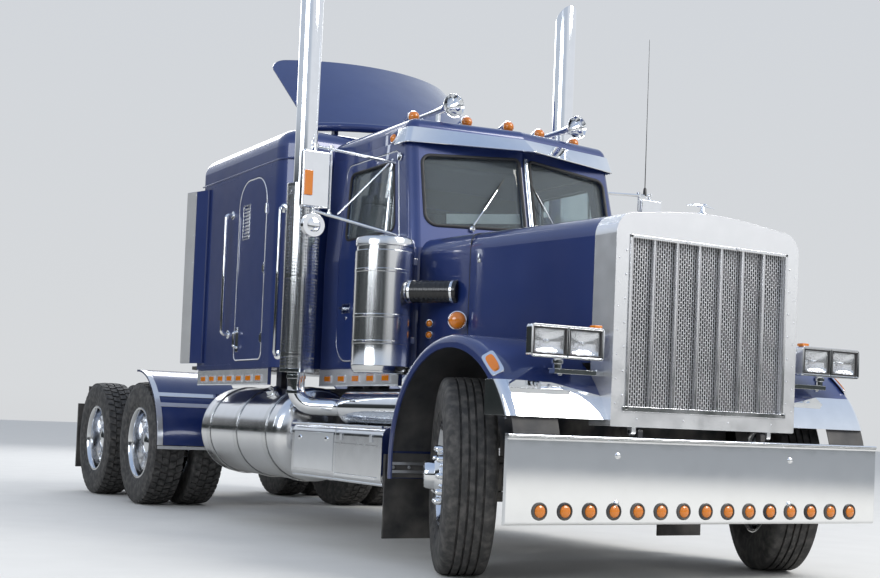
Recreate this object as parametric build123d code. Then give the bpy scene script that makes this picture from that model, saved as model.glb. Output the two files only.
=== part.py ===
from build123d import *
from math import cos, radians, sin
import os

os.makedirs("parts", exist_ok=True)

# Frame: the truck faces -Y, +X is its left side, z is the height over the ground.
# While it is modelled y is measured back from the front axle; save() moves the
# origin to the ground under the middle of the whole length.

# Driving sizes of the running gear, in millimetres
WHEELBASE = 5788
TANDEM_SPACING = 1320
TYRE_RADIUS = 515
TYRE_WIDTH = 276
RIM_RADIUS = 290
RIM_WIDTH = 210
RIM_LIP = 8
SEAT_GAP = 0.3
FRONT_TRACK_HALF = 1030
KINGPIN_X = 840
STEER_AT_REST = 25
DUAL_SPACING = 343
DUAL_OUTER_X = 1070
AXLE_Z = TYRE_RADIUS
DRIVE_AXLES = (WHEELBASE - TANDEM_SPACING / 2, WHEELBASE + TANDEM_SPACING / 2)

# Frame rails
RAIL_X = 430
RAIL_WEB = 8
RAIL_FLANGE = 85
RAIL_TOP = 1000
RAIL_DEPTH = 270
HORN_TOP = 690
HORN_DEPTH = 130
RAIL_FRONT = -640
RAIL_REAR = 7040

# Bumper, grille shell and hood
BUMPER_FACE = -670
BUMPER_DEPTH = 25
BUMPER_HALF = 1220
BUMPER_LOW = 321
BUMPER_TOP = 752
LAMP_COUNT = 15
LAMP_RADIUS = 31
LAMP_PROUD = 18
SHELL_FRONT = -650
SHELL_REAR = -470
SHELL_HALF = 613
SHELL_LOW = 804
SHELL_PEAK = 1932
SHELL_SHOULDER = SHELL_PEAK - 70
GRILLE_HALF = 515
GRILLE_LOW = 904
GRILLE_TOP = SHELL_PEAK - 184
GRILLE_BARS = 6
HOOD_REAR = 600
HOOD_SKIN = 12
HOOD_LOW = 1120
HINGE_Y = -615
HINGE_Z = 780
COWL_HALF = 745
COWL_REAR = 1150
COWL_PEAK = SHELL_PEAK + 28
COWL_SHOULDER = COWL_PEAK - 70
SHOULDER_ROUND = 110
CROWN_ROUND = 2500

# Cab and sleeper
FLOOR_LOW = 1120
FLOOR_THICK = 40
WALL = 45
GLASS_DEPTH = 18
GLASS_THICK = 6
CAB_BELT = 1840
CAB_ROOF = 2670
CAB_EAVES = CAB_ROOF - 140
CAB_HALF = 800
CAB_HALF_TOP = 760
CAB_REAR = 2400
PILLAR_Y = 1130
PILLAR_Y_TOP = 1290
VEE = 120
DOOR_GAP = 8
SLEEPER_FRONT = 2480
SLEEPER_REAR = 4150
SLEEPER_HALF = 1060
SLEEPER_ROOF = 2780
SLEEPER_EAVES = SLEEPER_ROOF - 220

# Pieces on the sides
STACK_X = 1030
STACK_Y = 2240
STACK_RADIUS = 75
STACK_TOP = 3915
CLEANER_X = 1000
CLEANER_Y = 1090
CLEANER_RADIUS = 174
TANK_X = 770
TANK_Z = 670
TANK_RADIUS = 320
TANK_FRONT = 2360
TANK_REAR = 3940
STEP_FRONT = 700
STEP_REAR = 1940
STEP_OUT = 1170
STEP_TOP = 750
STEP_LOW = 420
FENDER_OUT = 1185
FENDER_IN = SHELL_HALF + SEAT_GAP
FENDER_RADIUS = 645
FENDER_Y = -20
FENDER_Z = 600
FENDER_SKIN = 10

# The origin in the middle of the length
TAIL = RAIL_REAR + 40
FRONT_END = BUMPER_FACE - LAMP_PROUD
AXLE_Y = -(FRONT_END + TAIL) / 2


# Shape helpers
def outline(corners):
    """Closed outline from rows of place across, place up and corner radius."""
    points = [(u, v) for u, v, r in corners]
    radii = [r for u, v, r in corners]
    return make_face(FilletPolyline(*points, radius=radii, close=True))


def rectangle(u, v, r=0):
    """Corner rows of a rectangle between two pairs of limits."""
    return [(u[0], v[0], r), (u[1], v[0], r), (u[1], v[1], r), (u[0], v[1], r)]


def across(corners, x0, x1):
    """Outline in y and z, made solid from x0 to x1."""
    plane = Plane((x0, 0, 0), x_dir=(0, 1, 0), z_dir=(1, 0, 0))
    return extrude(plane * outline(corners), amount=x1 - x0)


def along(corners, y0, y1):
    """Outline in x and z, made solid from y0 to y1."""
    plane = Plane((0, y1, 0), x_dir=(1, 0, 0), z_dir=(0, -1, 0))
    return extrude(plane * outline(corners), amount=y1 - y0)


def upward(corners, z0, z1):
    """Outline in x and y, made solid from z0 to z1."""
    return extrude(Pos(0, 0, z0) * outline(corners), amount=z1 - z0)


def block(x, y, z):
    """Block between pairs of limits."""
    size = Box(x[1] - x[0], y[1] - y[0], z[1] - z[0])
    return Pos(sum(x) / 2, sum(y) / 2, sum(z) / 2) * size


def rod(start, end, radius):
    """Round bar between two points."""
    line = Vector(*end) - Vector(*start)
    base = (Align.CENTER, Align.CENTER, Align.MIN)
    return Plane(start, z_dir=line) * Cylinder(radius, line.length, align=base)


def ring(start, end, radius, bore):
    """Round tube between two points."""
    return rod(start, end, radius) - rod(start, end, bore)


def pipe(points, bends, radius):
    """Round bar along straight runs joined by tangent arcs."""
    path = FilletPolyline(*points, radius=bends)
    return sweep(Plane(path @ 0, z_dir=path % 0) * Circle(radius), path=path)


def turned(rows, axis=Axis.X):
    """Body of revolution about the x axis, from rows of x, radius and corner radius."""
    return revolve(Plane.XZ * outline(rows), axis)


def both(shape):
    """A shape and its mirror image on the other side."""
    return [shape, mirror(shape, about=Plane.YZ)]


def lerp(low, high, share):
    """Value a share of the way from low to high."""
    return low + (high - low) * share


def save(name, *shapes):
    """Write one node, moved to the frame with its origin in mid length."""
    solids = [solid for shape in shapes for solid in shape.solids()]
    node = Pos(0, AXLE_Y, 0) * Compound(solids)
    export_step(node, f"parts/{name}.step")


# Frame: two channel rails with dropped front horns, crossmembers, cab mounts
HORN_LOW = HORN_TOP - HORN_DEPTH
RAIL_LOW = RAIL_TOP - RAIL_DEPTH
HORN_END = -520
DROP_END = -440
MOUNT_X = (350, 430)
MOUNTS_Y = (1250, 2250, 2650, 3950)
MOUNT_LENGTH = 100
CROSSMEMBERS_Y = (1750, 2900, 3780, 4560, WHEELBASE, 6960)
CROSSMEMBER_WIDTH = 60
CROSSMEMBER_DEPTH = 150
EAR_X = (395, 425)
EAR_RADIUS = 18
HINGE_PIN = 9
HINGE_PIN_END = 472


def rail():
    """The left rail, a channel open towards the middle."""
    side = [(RAIL_FRONT, HORN_LOW, 0), (RAIL_FRONT, HORN_TOP, 0), (HORN_END, HORN_TOP, 30)]
    side += [(DROP_END, RAIL_TOP, 30), (RAIL_REAR, RAIL_TOP, 0), (RAIL_REAR, RAIL_LOW, 0)]
    side += [(DROP_END, RAIL_LOW, 30), (HORN_END, HORN_LOW, 30)]
    solid = across(side, RAIL_X - RAIL_FLANGE, RAIL_X)
    hollow = [(RAIL_FRONT - 1, HORN_LOW + RAIL_WEB, 0), (RAIL_FRONT - 1, HORN_TOP - RAIL_WEB, 0)]
    hollow += [(HORN_END, HORN_TOP - RAIL_WEB, 30), (DROP_END, RAIL_TOP - RAIL_WEB, 30)]
    hollow += [(RAIL_REAR + 1, RAIL_TOP - RAIL_WEB, 0), (RAIL_REAR + 1, RAIL_LOW + RAIL_WEB, 0)]
    hollow += [(DROP_END, RAIL_LOW + RAIL_WEB, 30), (HORN_END, HORN_LOW + RAIL_WEB, 30)]
    return solid - across(hollow, RAIL_X - RAIL_FLANGE - 1, RAIL_X - RAIL_WEB)


def hinge_ear():
    """Ear with the hood's hinge pin, on the left horn."""
    ear = block(EAR_X, (HINGE_Y - EAR_RADIUS, HINGE_Y + EAR_RADIUS), (HORN_TOP, HINGE_Z))
    ear += rod((EAR_X[0], HINGE_Y, HINGE_Z), (EAR_X[1], HINGE_Y, HINGE_Z), EAR_RADIUS)
    return ear + rod((EAR_X[0], HINGE_Y, HINGE_Z), (HINGE_PIN_END, HINGE_Y, HINGE_Z), HINGE_PIN)


frame = Compound(both(rail() + hinge_ear()))
inner_web = RAIL_X - RAIL_WEB
frame += block((-inner_web, inner_web), (-600, -540), (HORN_LOW + RAIL_WEB, HORN_TOP - RAIL_WEB))
cross_z = (RAIL_TOP - RAIL_WEB - CROSSMEMBER_DEPTH, RAIL_TOP - RAIL_WEB)
for y in CROSSMEMBERS_Y:
    half = CROSSMEMBER_WIDTH / 2
    frame += block((-inner_web, inner_web), (y - half, y + half), cross_z)
for y in MOUNTS_Y:
    half = MOUNT_LENGTH / 2
    for side in (1, -1):
        mount_x = sorted((side * MOUNT_X[0], side * MOUNT_X[1]))
        frame += block(mount_x, (y - half, y + half), (RAIL_TOP, FLOOR_LOW))
TAIL_SKIN = 10
TAIL_HALF = 1100
frame += block((-TAIL_HALF, TAIL_HALF), (RAIL_REAR, RAIL_REAR + TAIL_SKIN), (RAIL_LOW + 40, RAIL_TOP))
save("chassis_frame", frame)

# Front axle: forged beam with an eye for each kingpin
EYE_RADIUS = 46
EYE_HALF = 70
KINGPIN_RADIUS = 22
BEAM_HALF = 55
BEAM_TOP = AXLE_Z - 35
BEAM_LOW = AXLE_Z - 130
beam_rows = [(-KINGPIN_X, AXLE_Z + 50, 0), (-700, AXLE_Z + 40, 60), (-560, BEAM_TOP, 60)]
beam_rows += [(560, BEAM_TOP, 60), (700, AXLE_Z + 40, 60), (KINGPIN_X, AXLE_Z + 50, 0)]
beam_rows += [(KINGPIN_X, AXLE_Z - 50, 0), (740, AXLE_Z - 60, 40), (600, BEAM_LOW, 60)]
beam_rows += [(-600, BEAM_LOW, 60), (-740, AXLE_Z - 60, 40), (-KINGPIN_X, AXLE_Z - 50, 0)]
beam = along(beam_rows, -BEAM_HALF, BEAM_HALF)
for y0, y1 in ((-BEAM_HALF - 1, -18), (18, BEAM_HALF + 1)):
    pocket = rectangle((-540, 540), (BEAM_LOW + 28, BEAM_TOP - 28), 15)
    beam -= along(pocket, y0, y1)
for side in (1, -1):
    x = side * KINGPIN_X
    beam -= block(sorted((x, side * (KINGPIN_X - EYE_RADIUS - 4))), (-60, 60), (AXLE_Z + EYE_HALF, 800))
    beam += rod((x, 0, AXLE_Z - EYE_HALF), (x, 0, AXLE_Z + EYE_HALF), EYE_RADIUS)
    bore = KINGPIN_RADIUS + SEAT_GAP
    beam -= rod((x, 0, AXLE_Z - 200), (x, 0, AXLE_Z + 200), bore)

# Front leaf springs between hangers on the rails
SPRING_X = (388, 472)
LEAF = 16
SPRING_FRONT = -560
SPRING_REAR = 600
EYE_Z = 530
EYE_OUTSIDE = 26
spring_low = BEAM_TOP
leaves = []
for reach, count in ((1.0, 0), (0.72, 1), (0.48, 2)):
    y0, y1 = SPRING_FRONT * reach, SPRING_REAR * reach
    low = spring_low + (2 - count) * LEAF
    rise = (EYE_Z - LEAF / 2 - BEAM_TOP - 2 * LEAF) * reach * reach
    rows = [(y0, low + rise, 0), (0, low - rise, 900), (y1, low + rise, 0)]
    rows += [(y1, low + rise + LEAF, 0), (0, low - rise + LEAF, 900), (y0, low + rise + LEAF, 0)]
    leaves.append(rows)
pack = block(SPRING_X, (-90, 90), (spring_low, spring_low + 3 * LEAF))
for rows in leaves:
    pack += across(rows, *SPRING_X)
pack += rod((SPRING_X[0], SPRING_FRONT, EYE_Z), (SPRING_X[1], SPRING_FRONT, EYE_Z), EYE_OUTSIDE)
pack += rod((SPRING_X[0], SPRING_REAR, EYE_Z), (SPRING_X[1], SPRING_REAR, EYE_Z), EYE_OUTSIDE)
pack += block((400, 430), (SPRING_FRONT - 30, SPRING_FRONT + 30), (EYE_Z, HORN_LOW))
pack += block((400, 430), (SPRING_REAR - 35, SPRING_REAR + 35), (EYE_Z, RAIL_LOW))
save("front_axle", beam + Compound(both(pack)))

# Drive axle housings: tube, round centre and spindles
HOUSING_RADIUS = 70
HOUSING_END = 560
SPINDLE_RADIUS = 45
SPINDLE_END = DUAL_OUTER_X + 20
BOWL_RADIUS = 215
housing_rows = [(-SPINDLE_END, 0, 0), (-SPINDLE_END, SPINDLE_RADIUS, 0), (-HOUSING_END, SPINDLE_RADIUS, 0)]
housing_rows += [(-HOUSING_END, HOUSING_RADIUS, 0), (-260, HOUSING_RADIUS, 80), (-150, BOWL_RADIUS, 90)]
housing_rows += [(150, BOWL_RADIUS, 90), (260, HOUSING_RADIUS, 80), (HOUSING_END, HOUSING_RADIUS, 0)]
housing_rows += [(HOUSING_END, SPINDLE_RADIUS, 0), (SPINDLE_END, SPINDLE_RADIUS, 0), (SPINDLE_END, 0, 0)]
housings = []
PINION_REACH = 330
for y in DRIVE_AXLES:
    housing = Pos(0, y, AXLE_Z) * turned(housing_rows)
    nose = rod((0, y, AXLE_Z + 60), (0, y - PINION_REACH, AXLE_Z + 110), 95)
    housing += nose
    if y == DRIVE_AXLES[0]:
        housing += rod((0, y, AXLE_Z + 60), (0, y + PINION_REACH, AXLE_Z + 110), 70)
    housings.append(housing)

# Rear suspension: trailing arms under the axles, air springs on their ends
ARM_X = (380, 460)
ARM_HANGER = -520
BAG_REACH = 380
BAG_RADIUS = 125
bags = []
for i, y in enumerate(DRIVE_AXLES):
    low = AXLE_Z - HOUSING_RADIUS
    rows = [(y + ARM_HANGER - 45, RAIL_LOW, 0), (y + ARM_HANGER - 45, 590, 30), (y - 150, low - 60, 60)]
    rows += [(y + BAG_REACH + 90, low - 60, 0), (y + BAG_REACH + 90, low, 0), (y - 130, low, 60)]
    rows += [(y + ARM_HANGER + 45, 620, 30), (y + ARM_HANGER + 45, RAIL_LOW, 0)]
    arm = across(rows, *ARM_X) + block(ARM_X, (y - 60, y + 60), (low - 1, AXLE_Z))
    housings[i] += Compound(both(arm))
    bag_rows = [(0, 0, 0), (BAG_RADIUS - 35, 0, 0), (BAG_RADIUS - 25, 70, 10), (BAG_RADIUS, 110, 20)]
    bag_rows += [(BAG_RADIUS, 230, 30), (BAG_RADIUS - 45, RAIL_LOW - low, 0), (0, RAIL_LOW - low, 0)]
    bag = revolve(Plane.XZ * outline(bag_rows), Axis.Z)
    bags += both(Pos(sum(ARM_X) / 2, y + BAG_REACH, low) * bag)
save("rear_axles", *housings)
save("air_springs", *bags)

# Engine block, gearbox and propeller shafts
ENGINE_HALF = 330
ENGINE_FRONT = -260
ENGINE_REAR = 720
ENGINE_LOW = 650
ENGINE_TOP = 1600
engine = block((-ENGINE_HALF, ENGINE_HALF), (ENGINE_FRONT, ENGINE_REAR), (ENGINE_LOW, ENGINE_TOP))
GEARBOX_REAR = 1600
gearbox_rows = [(ENGINE_REAR, 660, 0), (ENGINE_REAR, 1060, 0), (900, 1060, 60), (1150, 980, 60)]
gearbox_rows += [(GEARBOX_REAR, 900, 0), (GEARBOX_REAR, 700, 0), (1150, 640, 60)]
gearbox = across(gearbox_rows, -220, 220)
gearbox += block((-MOUNT_X[0], MOUNT_X[0]), (1250, 1330), (RAIL_LOW + 10, RAIL_LOW + 60))
gearbox += block((-inner_web, inner_web), (1250, 1330), (RAIL_LOW + 20, RAIL_LOW + 60))
SHAFT_RADIUS = 55
first, second = DRIVE_AXLES
shafts = [rod((0, GEARBOX_REAR + SEAT_GAP, 790), (0, first - PINION_REACH - 6, AXLE_Z + 111), SHAFT_RADIUS)]
pinion_z = AXLE_Z + 110
shaft_ends = (first + PINION_REACH + 8, second - PINION_REACH - 12)
shafts.append(rod((0, shaft_ends[0], pinion_z), (0, shaft_ends[1], pinion_z), SHAFT_RADIUS - 5))
save("driveline", engine + gearbox, *shafts)

# Radiator behind the grille, standing on the front crossmember
radiator = block((-480, 480), (-430, -320), (RAIL_TOP, 1760))
radiator += block((-335, 335), (-430, -320), (660, RAIL_TOP))
save("radiator", radiator)

# Front bumper: rolled plate with closed ends, on two brackets
BUMPER_SKIN = 6
ROLL = 18
bumper_back = BUMPER_FACE + BUMPER_DEPTH
bumper_rows = [(BUMPER_FACE, BUMPER_LOW, 14), (BUMPER_FACE, BUMPER_TOP - ROLL, 10)]
bumper_rows += [(BUMPER_FACE - 10, BUMPER_TOP - ROLL, 6), (BUMPER_FACE - 10, BUMPER_TOP, 8)]
bumper_rows += [(bumper_back, BUMPER_TOP, 0), (bumper_back, BUMPER_LOW, 0)]
bumper = across(bumper_rows, -BUMPER_HALF, BUMPER_HALF)
hollow = [(BUMPER_FACE + BUMPER_SKIN, BUMPER_LOW + BUMPER_SKIN, 8)]
hollow += [(BUMPER_FACE + BUMPER_SKIN, BUMPER_TOP - BUMPER_SKIN, 8)]
hollow += [(bumper_back + 1, BUMPER_TOP - BUMPER_SKIN, 0), (bumper_back + 1, BUMPER_LOW + BUMPER_SKIN, 0)]
bumper -= across(hollow, -BUMPER_HALF + BUMPER_SKIN, BUMPER_HALF - BUMPER_SKIN)
for side in (1, -1):
    x = sorted((side * (RAIL_X - RAIL_FLANGE), side * RAIL_X))
    bumper += block(x, (BUMPER_FACE + BUMPER_SKIN - 1, RAIL_FRONT), (HORN_LOW, HORN_TOP))
save("front_bumper", bumper)

# Row of round lamps along the bumper
LAMP_Z = 387
LAMP_SPAN = 1028
lamps = []
for i in range(LAMP_COUNT):
    x = lerp(-LAMP_SPAN, LAMP_SPAN, i / (LAMP_COUNT - 1))
    rows = [(0, 0, 0), (LAMP_RADIUS, 0, 0), (LAMP_RADIUS, 7, 0), (LAMP_RADIUS - 8, LAMP_PROUD, 0)]
    rows += [(0, LAMP_PROUD, 0)]
    lamp = revolve(Plane.XZ * outline(rows), Axis.Z)
    lamps.append(Pos(x, BUMPER_FACE, LAMP_Z) * Rot(90, 0, 0) * lamp)


# Cab: hollow body with a two-pane vee front, leaning above the belt
def cab_section(z, inset):
    """Plan section of the cab at a height, drawn in by an inset."""
    lean = max(0, (z - CAB_BELT) / (CAB_EAVES - CAB_BELT))
    half = lerp(CAB_HALF, CAB_HALF_TOP, lean) - inset
    pillar = lerp(PILLAR_Y, PILLAR_Y_TOP, lean) + inset
    vee = pillar - VEE
    round_front = max(10, 70 - inset)
    rows = [(-half, CAB_REAR - inset, 40), (-half, pillar, round_front), (0, vee, 0)]
    rows += [(half, pillar, round_front), (half, CAB_REAR - inset, 40)]
    return Pos(0, 0, z) * outline(rows)


def cab_solid(inset, low, high):
    """Cab form between two heights."""
    return loft([cab_section(z, inset) for z in (low, CAB_BELT, high)], ruled=True)


def cab_cap(inset, high, rounding):
    """Roof form over the eaves."""
    cap = extrude(cab_section(CAB_EAVES, inset), amount=high - CAB_EAVES)
    return fillet(cap.faces().sort_by(Axis.Z)[-1].edges(), rounding)


def hood_section(y, inset, low):
    """Arched section of hood or cowl at a station."""
    share = (y - SHELL_REAR) / (COWL_REAR - SHELL_REAR)
    half = lerp(SHELL_HALF, COWL_HALF, share) - inset
    shoulder = lerp(SHELL_SHOULDER, COWL_SHOULDER, share) - inset
    peak = lerp(SHELL_PEAK, COWL_PEAK, share) - inset
    rows = [(-half, low, 0), (-half, shoulder, SHOULDER_ROUND - inset), (0, peak, CROWN_ROUND)]
    rows += [(half, shoulder, SHOULDER_ROUND - inset), (half, low, 0)]
    return Plane((0, y, 0), x_dir=(1, 0, 0), z_dir=(0, -1, 0)) * outline(rows)


def hood_solid(y0, y1, inset, low):
    """Hood or cowl form between two stations."""
    return loft([hood_section(y0, inset, low), hood_section(y1, inset, low)], ruled=True)


DOOR_LOW = FLOOR_LOW + 45
DOOR_TOP = CAB_EAVES - 60
WINDOW_LOW = CAB_BELT + 125
WINDOW_TOP = DOOR_TOP - 60
DOOR_ROWS = [(1300, DOOR_LOW, 40), (2135, DOOR_LOW, 150), (2135, DOOR_TOP, 60), (1420, DOOR_TOP, 40)]
DOOR_ROWS += [(1300, CAB_BELT + 40, 300)]
WINDOW_ROWS = [(1370, WINDOW_LOW, 45), (2070, WINDOW_LOW, 45), (2070, WINDOW_TOP, 50), (1465, WINDOW_TOP, 50)]
PANE_ROWS = [(38, CAB_BELT + 165, 30), (700, CAB_BELT + 145, 70)]
PANE_ROWS += [(688, DOOR_TOP - 40, 60), (38, DOOR_TOP, 30)]
REACH = 1200
PRISM_X = CAB_HALF_TOP - WALL - 30


def side_prism(rows, grow=0):
    """Side outline as a prism through the left side only."""
    plane = Plane((PRISM_X, 0, 0), x_dir=(0, 1, 0), z_dir=(1, 0, 0))
    face = outline(rows)
    if grow:
        face = offset(face, grow)
    return extrude(plane * face, amount=REACH - PRISM_X)


def front_prism(rows, grow=0):
    """Windshield outline as a prism through the left half of the front."""
    face = outline(rows)
    if grow:
        face = offset(face, grow)
    plane = Plane((0, 1600, 0), x_dir=(1, 0, 0), z_dir=(0, -1, 0))
    return extrude(plane * face, amount=1200)


cab_outer = cab_solid(0, FLOOR_LOW, CAB_EAVES)
cab_inner = cab_solid(WALL, FLOOR_LOW + FLOOR_THICK, CAB_EAVES)
cab_shell = cab_outer - cab_inner
cowl_front = HOOD_REAR + DOOR_GAP
cowl = hood_solid(cowl_front, COWL_REAR, 0, FLOOR_LOW)
cowl -= hood_solid(cowl_front - 1, COWL_REAR + 1, WALL / 2, FLOOR_LOW - 1)
cowl -= cab_outer
save("cowl", cowl)
cab_body = cab_shell
door_hole = side_prism(DOOR_ROWS, DOOR_GAP)
pane_hole = front_prism(PANE_ROWS)
for hole in both(door_hole) + both(pane_hole):
    cab_body -= hole
PASSAGE_HALF = 350
PASSAGE_X = (-PASSAGE_HALF, PASSAGE_HALF)
PASSAGE_TOP = 2300
passage = block(PASSAGE_X, (CAB_REAR - WALL - 5, CAB_REAR + 5), (FLOOR_LOW + FLOOR_THICK, PASSAGE_TOP))
cab_body -= passage

roof_inner = cab_cap(WALL, CAB_ROOF - WALL, 40)
cab_roof = cab_cap(0, CAB_ROOF, 75) - roof_inner
save("cab_roof", cab_roof)

glass_shell = cab_solid(GLASS_DEPTH, FLOOR_LOW, CAB_EAVES)
glass_shell -= cab_solid(GLASS_DEPTH + GLASS_THICK, FLOOR_LOW - 1, CAB_EAVES + 1)
panes = glass_shell & front_prism(PANE_ROWS, -SEAT_GAP)
save("windshield_glass", *both(panes))

# Cab doors with their windows
door = cab_shell & side_prism(DOOR_ROWS)
door -= side_prism(WINDOW_ROWS)
door_glass = glass_shell & side_prism(WINDOW_ROWS, -SEAT_GAP)
for name, shape in zip(("left", "right"), both(door)):
    save(f"cab_door_{name}", shape)
for name, shape in zip(("left", "right"), both(door_glass)):
    save(f"door_glass_{name}", shape)

# Sun visor over the windshield
VISOR_LOW = CAB_EAVES - 25
VISOR_TOP = CAB_ROOF - 65
VISOR_REAR = 1430
VISOR_SKIN = 5


def visor_form(inset):
    """Visor form, wide at its lower edge."""
    low_half, top_half = 790 - inset, 762 - inset
    low_rows = [(-low_half, VISOR_REAR, 0), (-low_half, 1270 + inset, 40), (0, 1030 + inset, 0)]
    low_rows += [(low_half, 1270 + inset, 40), (low_half, VISOR_REAR, 0)]
    top_rows = [(-top_half, VISOR_REAR, 0), (-top_half, 1285 + inset, 40), (0, 1165 + inset, 0)]
    top_rows += [(top_half, 1285 + inset, 40), (top_half, VISOR_REAR, 0)]
    sections = [Pos(0, 0, VISOR_LOW) * outline(low_rows), Pos(0, 0, VISOR_TOP) * outline(top_rows)]
    return loft(sections, ruled=True)


visor = visor_form(0) - visor_form(VISOR_SKIN)
visor -= cab_outer
visor -= cab_cap(0, CAB_ROOF, 75)
save("sun_visor", max(visor.solids(), key=lambda solid: solid.volume))

# Marker lamps and air horns on the cab roof
ROOF_LAMPS = ((-620, 1626), (-280, 1538), (0, 1480), (280, 1538), (620, 1626))
ROOF_LAMP_RISE = 48
lamp_rows = [(0, 0, 0), (8, 0, 0), (26, 70, 10), (34, 100, 8), (34, 130, 14), (18, 156, 10), (0, 160, 0)]
roof_lamp = revolve(Plane.XZ * outline(lamp_rows), Axis.Z)
roof_lamps = []
for x, y in ROOF_LAMPS:
    lamp = Pos(x, y, CAB_ROOF + ROOF_LAMP_RISE) * Rot(90, 0, 0) * roof_lamp
    foot = block((x - 12, x + 12), (y - 90, y - 40), (CAB_ROOF, CAB_ROOF + ROOF_LAMP_RISE))
    roof_lamps.append(lamp + foot)
save("roof_marker_lamps", *roof_lamps)
HORN_X = 472
HORN_BELL_Y = 1254
HORN_RISE = 98
horn_rows = [(0, 0, 0), (26, 0, 0), (26, 90, 0), (14, 110, 10), (20, 480, 60), (38, 560, 60), (76, 620, 0)]
horn_rows += [(76, 626, 0), (60, 620, 0), (0, 600, 0)]
horn = Pos(HORN_X, HORN_BELL_Y + 626, CAB_ROOF + HORN_RISE) * Rot(90, 0, 0) * revolve(
    Plane.XZ * outline(horn_rows), Axis.Z
)
for y in (HORN_BELL_Y + 560, HORN_BELL_Y + 200):
    horn += block((HORN_X - 10, HORN_X + 10), (y - 20, y + 20), (CAB_ROOF, CAB_ROOF + HORN_RISE))
save("air_horns", *both(horn))

# Inside the cab: dashboard, seats and steering wheel
DASH_FRONT = 900
DASH_REAR = 1480
DASH_LOW = 1480
DASH_TOP = 1850
DASH_SIDE = CAB_HALF - WALL - DOOR_GAP
dash_rows = [(DASH_FRONT, DASH_LOW, 0), (DASH_FRONT, DASH_TOP, 0), (DASH_REAR - 130, DASH_TOP, 60)]
dash_rows += [(DASH_REAR, DASH_TOP - 70, 30), (DASH_REAR, DASH_LOW, 60)]
dash = across(dash_rows, -REACH, REACH) & cab_inner
dash -= block((-REACH, REACH), (DASH_FRONT, DASH_REAR - 130), (1400, 1600))
for cut in both(block((DASH_SIDE, REACH), (1280, DASH_REAR + 10), (DASH_LOW - 10, DASH_TOP + 10))):
    dash -= cut
SEAT_X = (215, 690)
SEAT_Y = (1580, 2110)
CUSHION_Z = (1470, 1620)
FLOOR_TOP = FLOOR_LOW + FLOOR_THICK
seat_middle = sum(SEAT_X) / 2
pedestal_x = (seat_middle - 110, seat_middle + 110)
seat = block(pedestal_x, (SEAT_Y[0] + 110, SEAT_Y[1] - 120), (FLOOR_TOP, CUSHION_Z[0]))
seat += fillet(block(SEAT_X, SEAT_Y, CUSHION_Z).edges(), 40)
back_rows = [(2030, 1600, 30), (2160, 1600, 30), (2310, 2260, 40), (2200, 2260, 40)]
seat += across(back_rows, *SEAT_X)
WHEEL_X = 450
WHEEL_Y = 1640
WHEEL_Z = 1800
WHEEL_TILT = 40
wheel = Torus(225, 14) + Cylinder(45, 30)
for angle in (0, 120, 240):
    wheel += Rot(0, 0, angle) * Pos(112, 0, 0) * Box(225, 26, 12)
wheel = Pos(WHEEL_X, WHEEL_Y, WHEEL_Z) * Rot(-WHEEL_TILT, 0, 0) * wheel
column = rod((WHEEL_X, WHEEL_Y, WHEEL_Z), (WHEEL_X, WHEEL_Y - 190, WHEEL_Z - 226), 28)
column -= dash
column = max(column.solids(), key=lambda solid: solid.volume)
save("cab_interior", dash, wheel + column, *both(seat))


# Sleeper: hollow box with rounded front corners and its own roof cap
def sleeper_section(z, inset):
    """Plan section of the sleeper."""
    half = SLEEPER_HALF - inset
    front, rear = SLEEPER_FRONT + inset, SLEEPER_REAR - inset
    rows = [(-half, rear, 50), (-half, front, 190 - inset), (half, front, 190 - inset), (half, rear, 50)]
    return Pos(0, 0, z) * outline(rows)


def sleeper_cap(inset, high, rounding):
    """Roof cap of the sleeper."""
    cap = extrude(sleeper_section(SLEEPER_EAVES, inset), amount=high - SLEEPER_EAVES)
    return fillet(cap.faces().sort_by(Axis.Z)[-1].edges(), rounding)


SLEEPER_DOOR_LOW = FLOOR_LOW + 60
SLEEPER_DOOR_TOP = SLEEPER_EAVES - 80
SLEEPER_DOOR = [(2810, SLEEPER_DOOR_LOW, 50), (3330, SLEEPER_DOOR_LOW, 50)]
SLEEPER_DOOR += [(3330, SLEEPER_DOOR_TOP, 190), (2810, SLEEPER_DOOR_TOP, 190)]
sleeper = extrude(sleeper_section(FLOOR_LOW, 0), amount=SLEEPER_EAVES - FLOOR_LOW)
sleeper_hollow = extrude(sleeper_section(FLOOR_TOP, WALL), amount=SLEEPER_EAVES - FLOOR_TOP)
sleeper_shell = sleeper - sleeper_hollow
sleeper_body = sleeper_shell - Pos(0, SLEEPER_FRONT - CAB_REAR + WALL, 0) * passage
sleeper_body -= passage.moved(Pos(0, SLEEPER_FRONT - CAB_REAR, 0))
for hole in both(side_prism(SLEEPER_DOOR, DOOR_GAP)):
    sleeper_body -= hole
save("sleeper_roof", sleeper_cap(0, SLEEPER_ROOF, 130) - sleeper_cap(WALL, SLEEPER_ROOF - WALL, 90))
sleeper_door = sleeper_shell & side_prism(SLEEPER_DOOR)
vent = [(3120, 2060, 20), (3240, 2060, 20), (3240, 2300, 20), (3120, 2300, 20)]
sleeper_door -= across(vent, SLEEPER_HALF - 12, REACH)
for name, shape in zip(("left", "right"), both(sleeper_door)):
    save(f"sleeper_door_{name}", shape)

# Soft boot between cab and sleeper round the passage
boot = block((-PASSAGE_HALF - 40, PASSAGE_HALF + 40), (CAB_REAR, SLEEPER_FRONT), (FLOOR_TOP - 35, 2340))
boot -= block(PASSAGE_X, (CAB_REAR - 1, SLEEPER_FRONT + 1), (FLOOR_TOP, PASSAGE_TOP))

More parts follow.
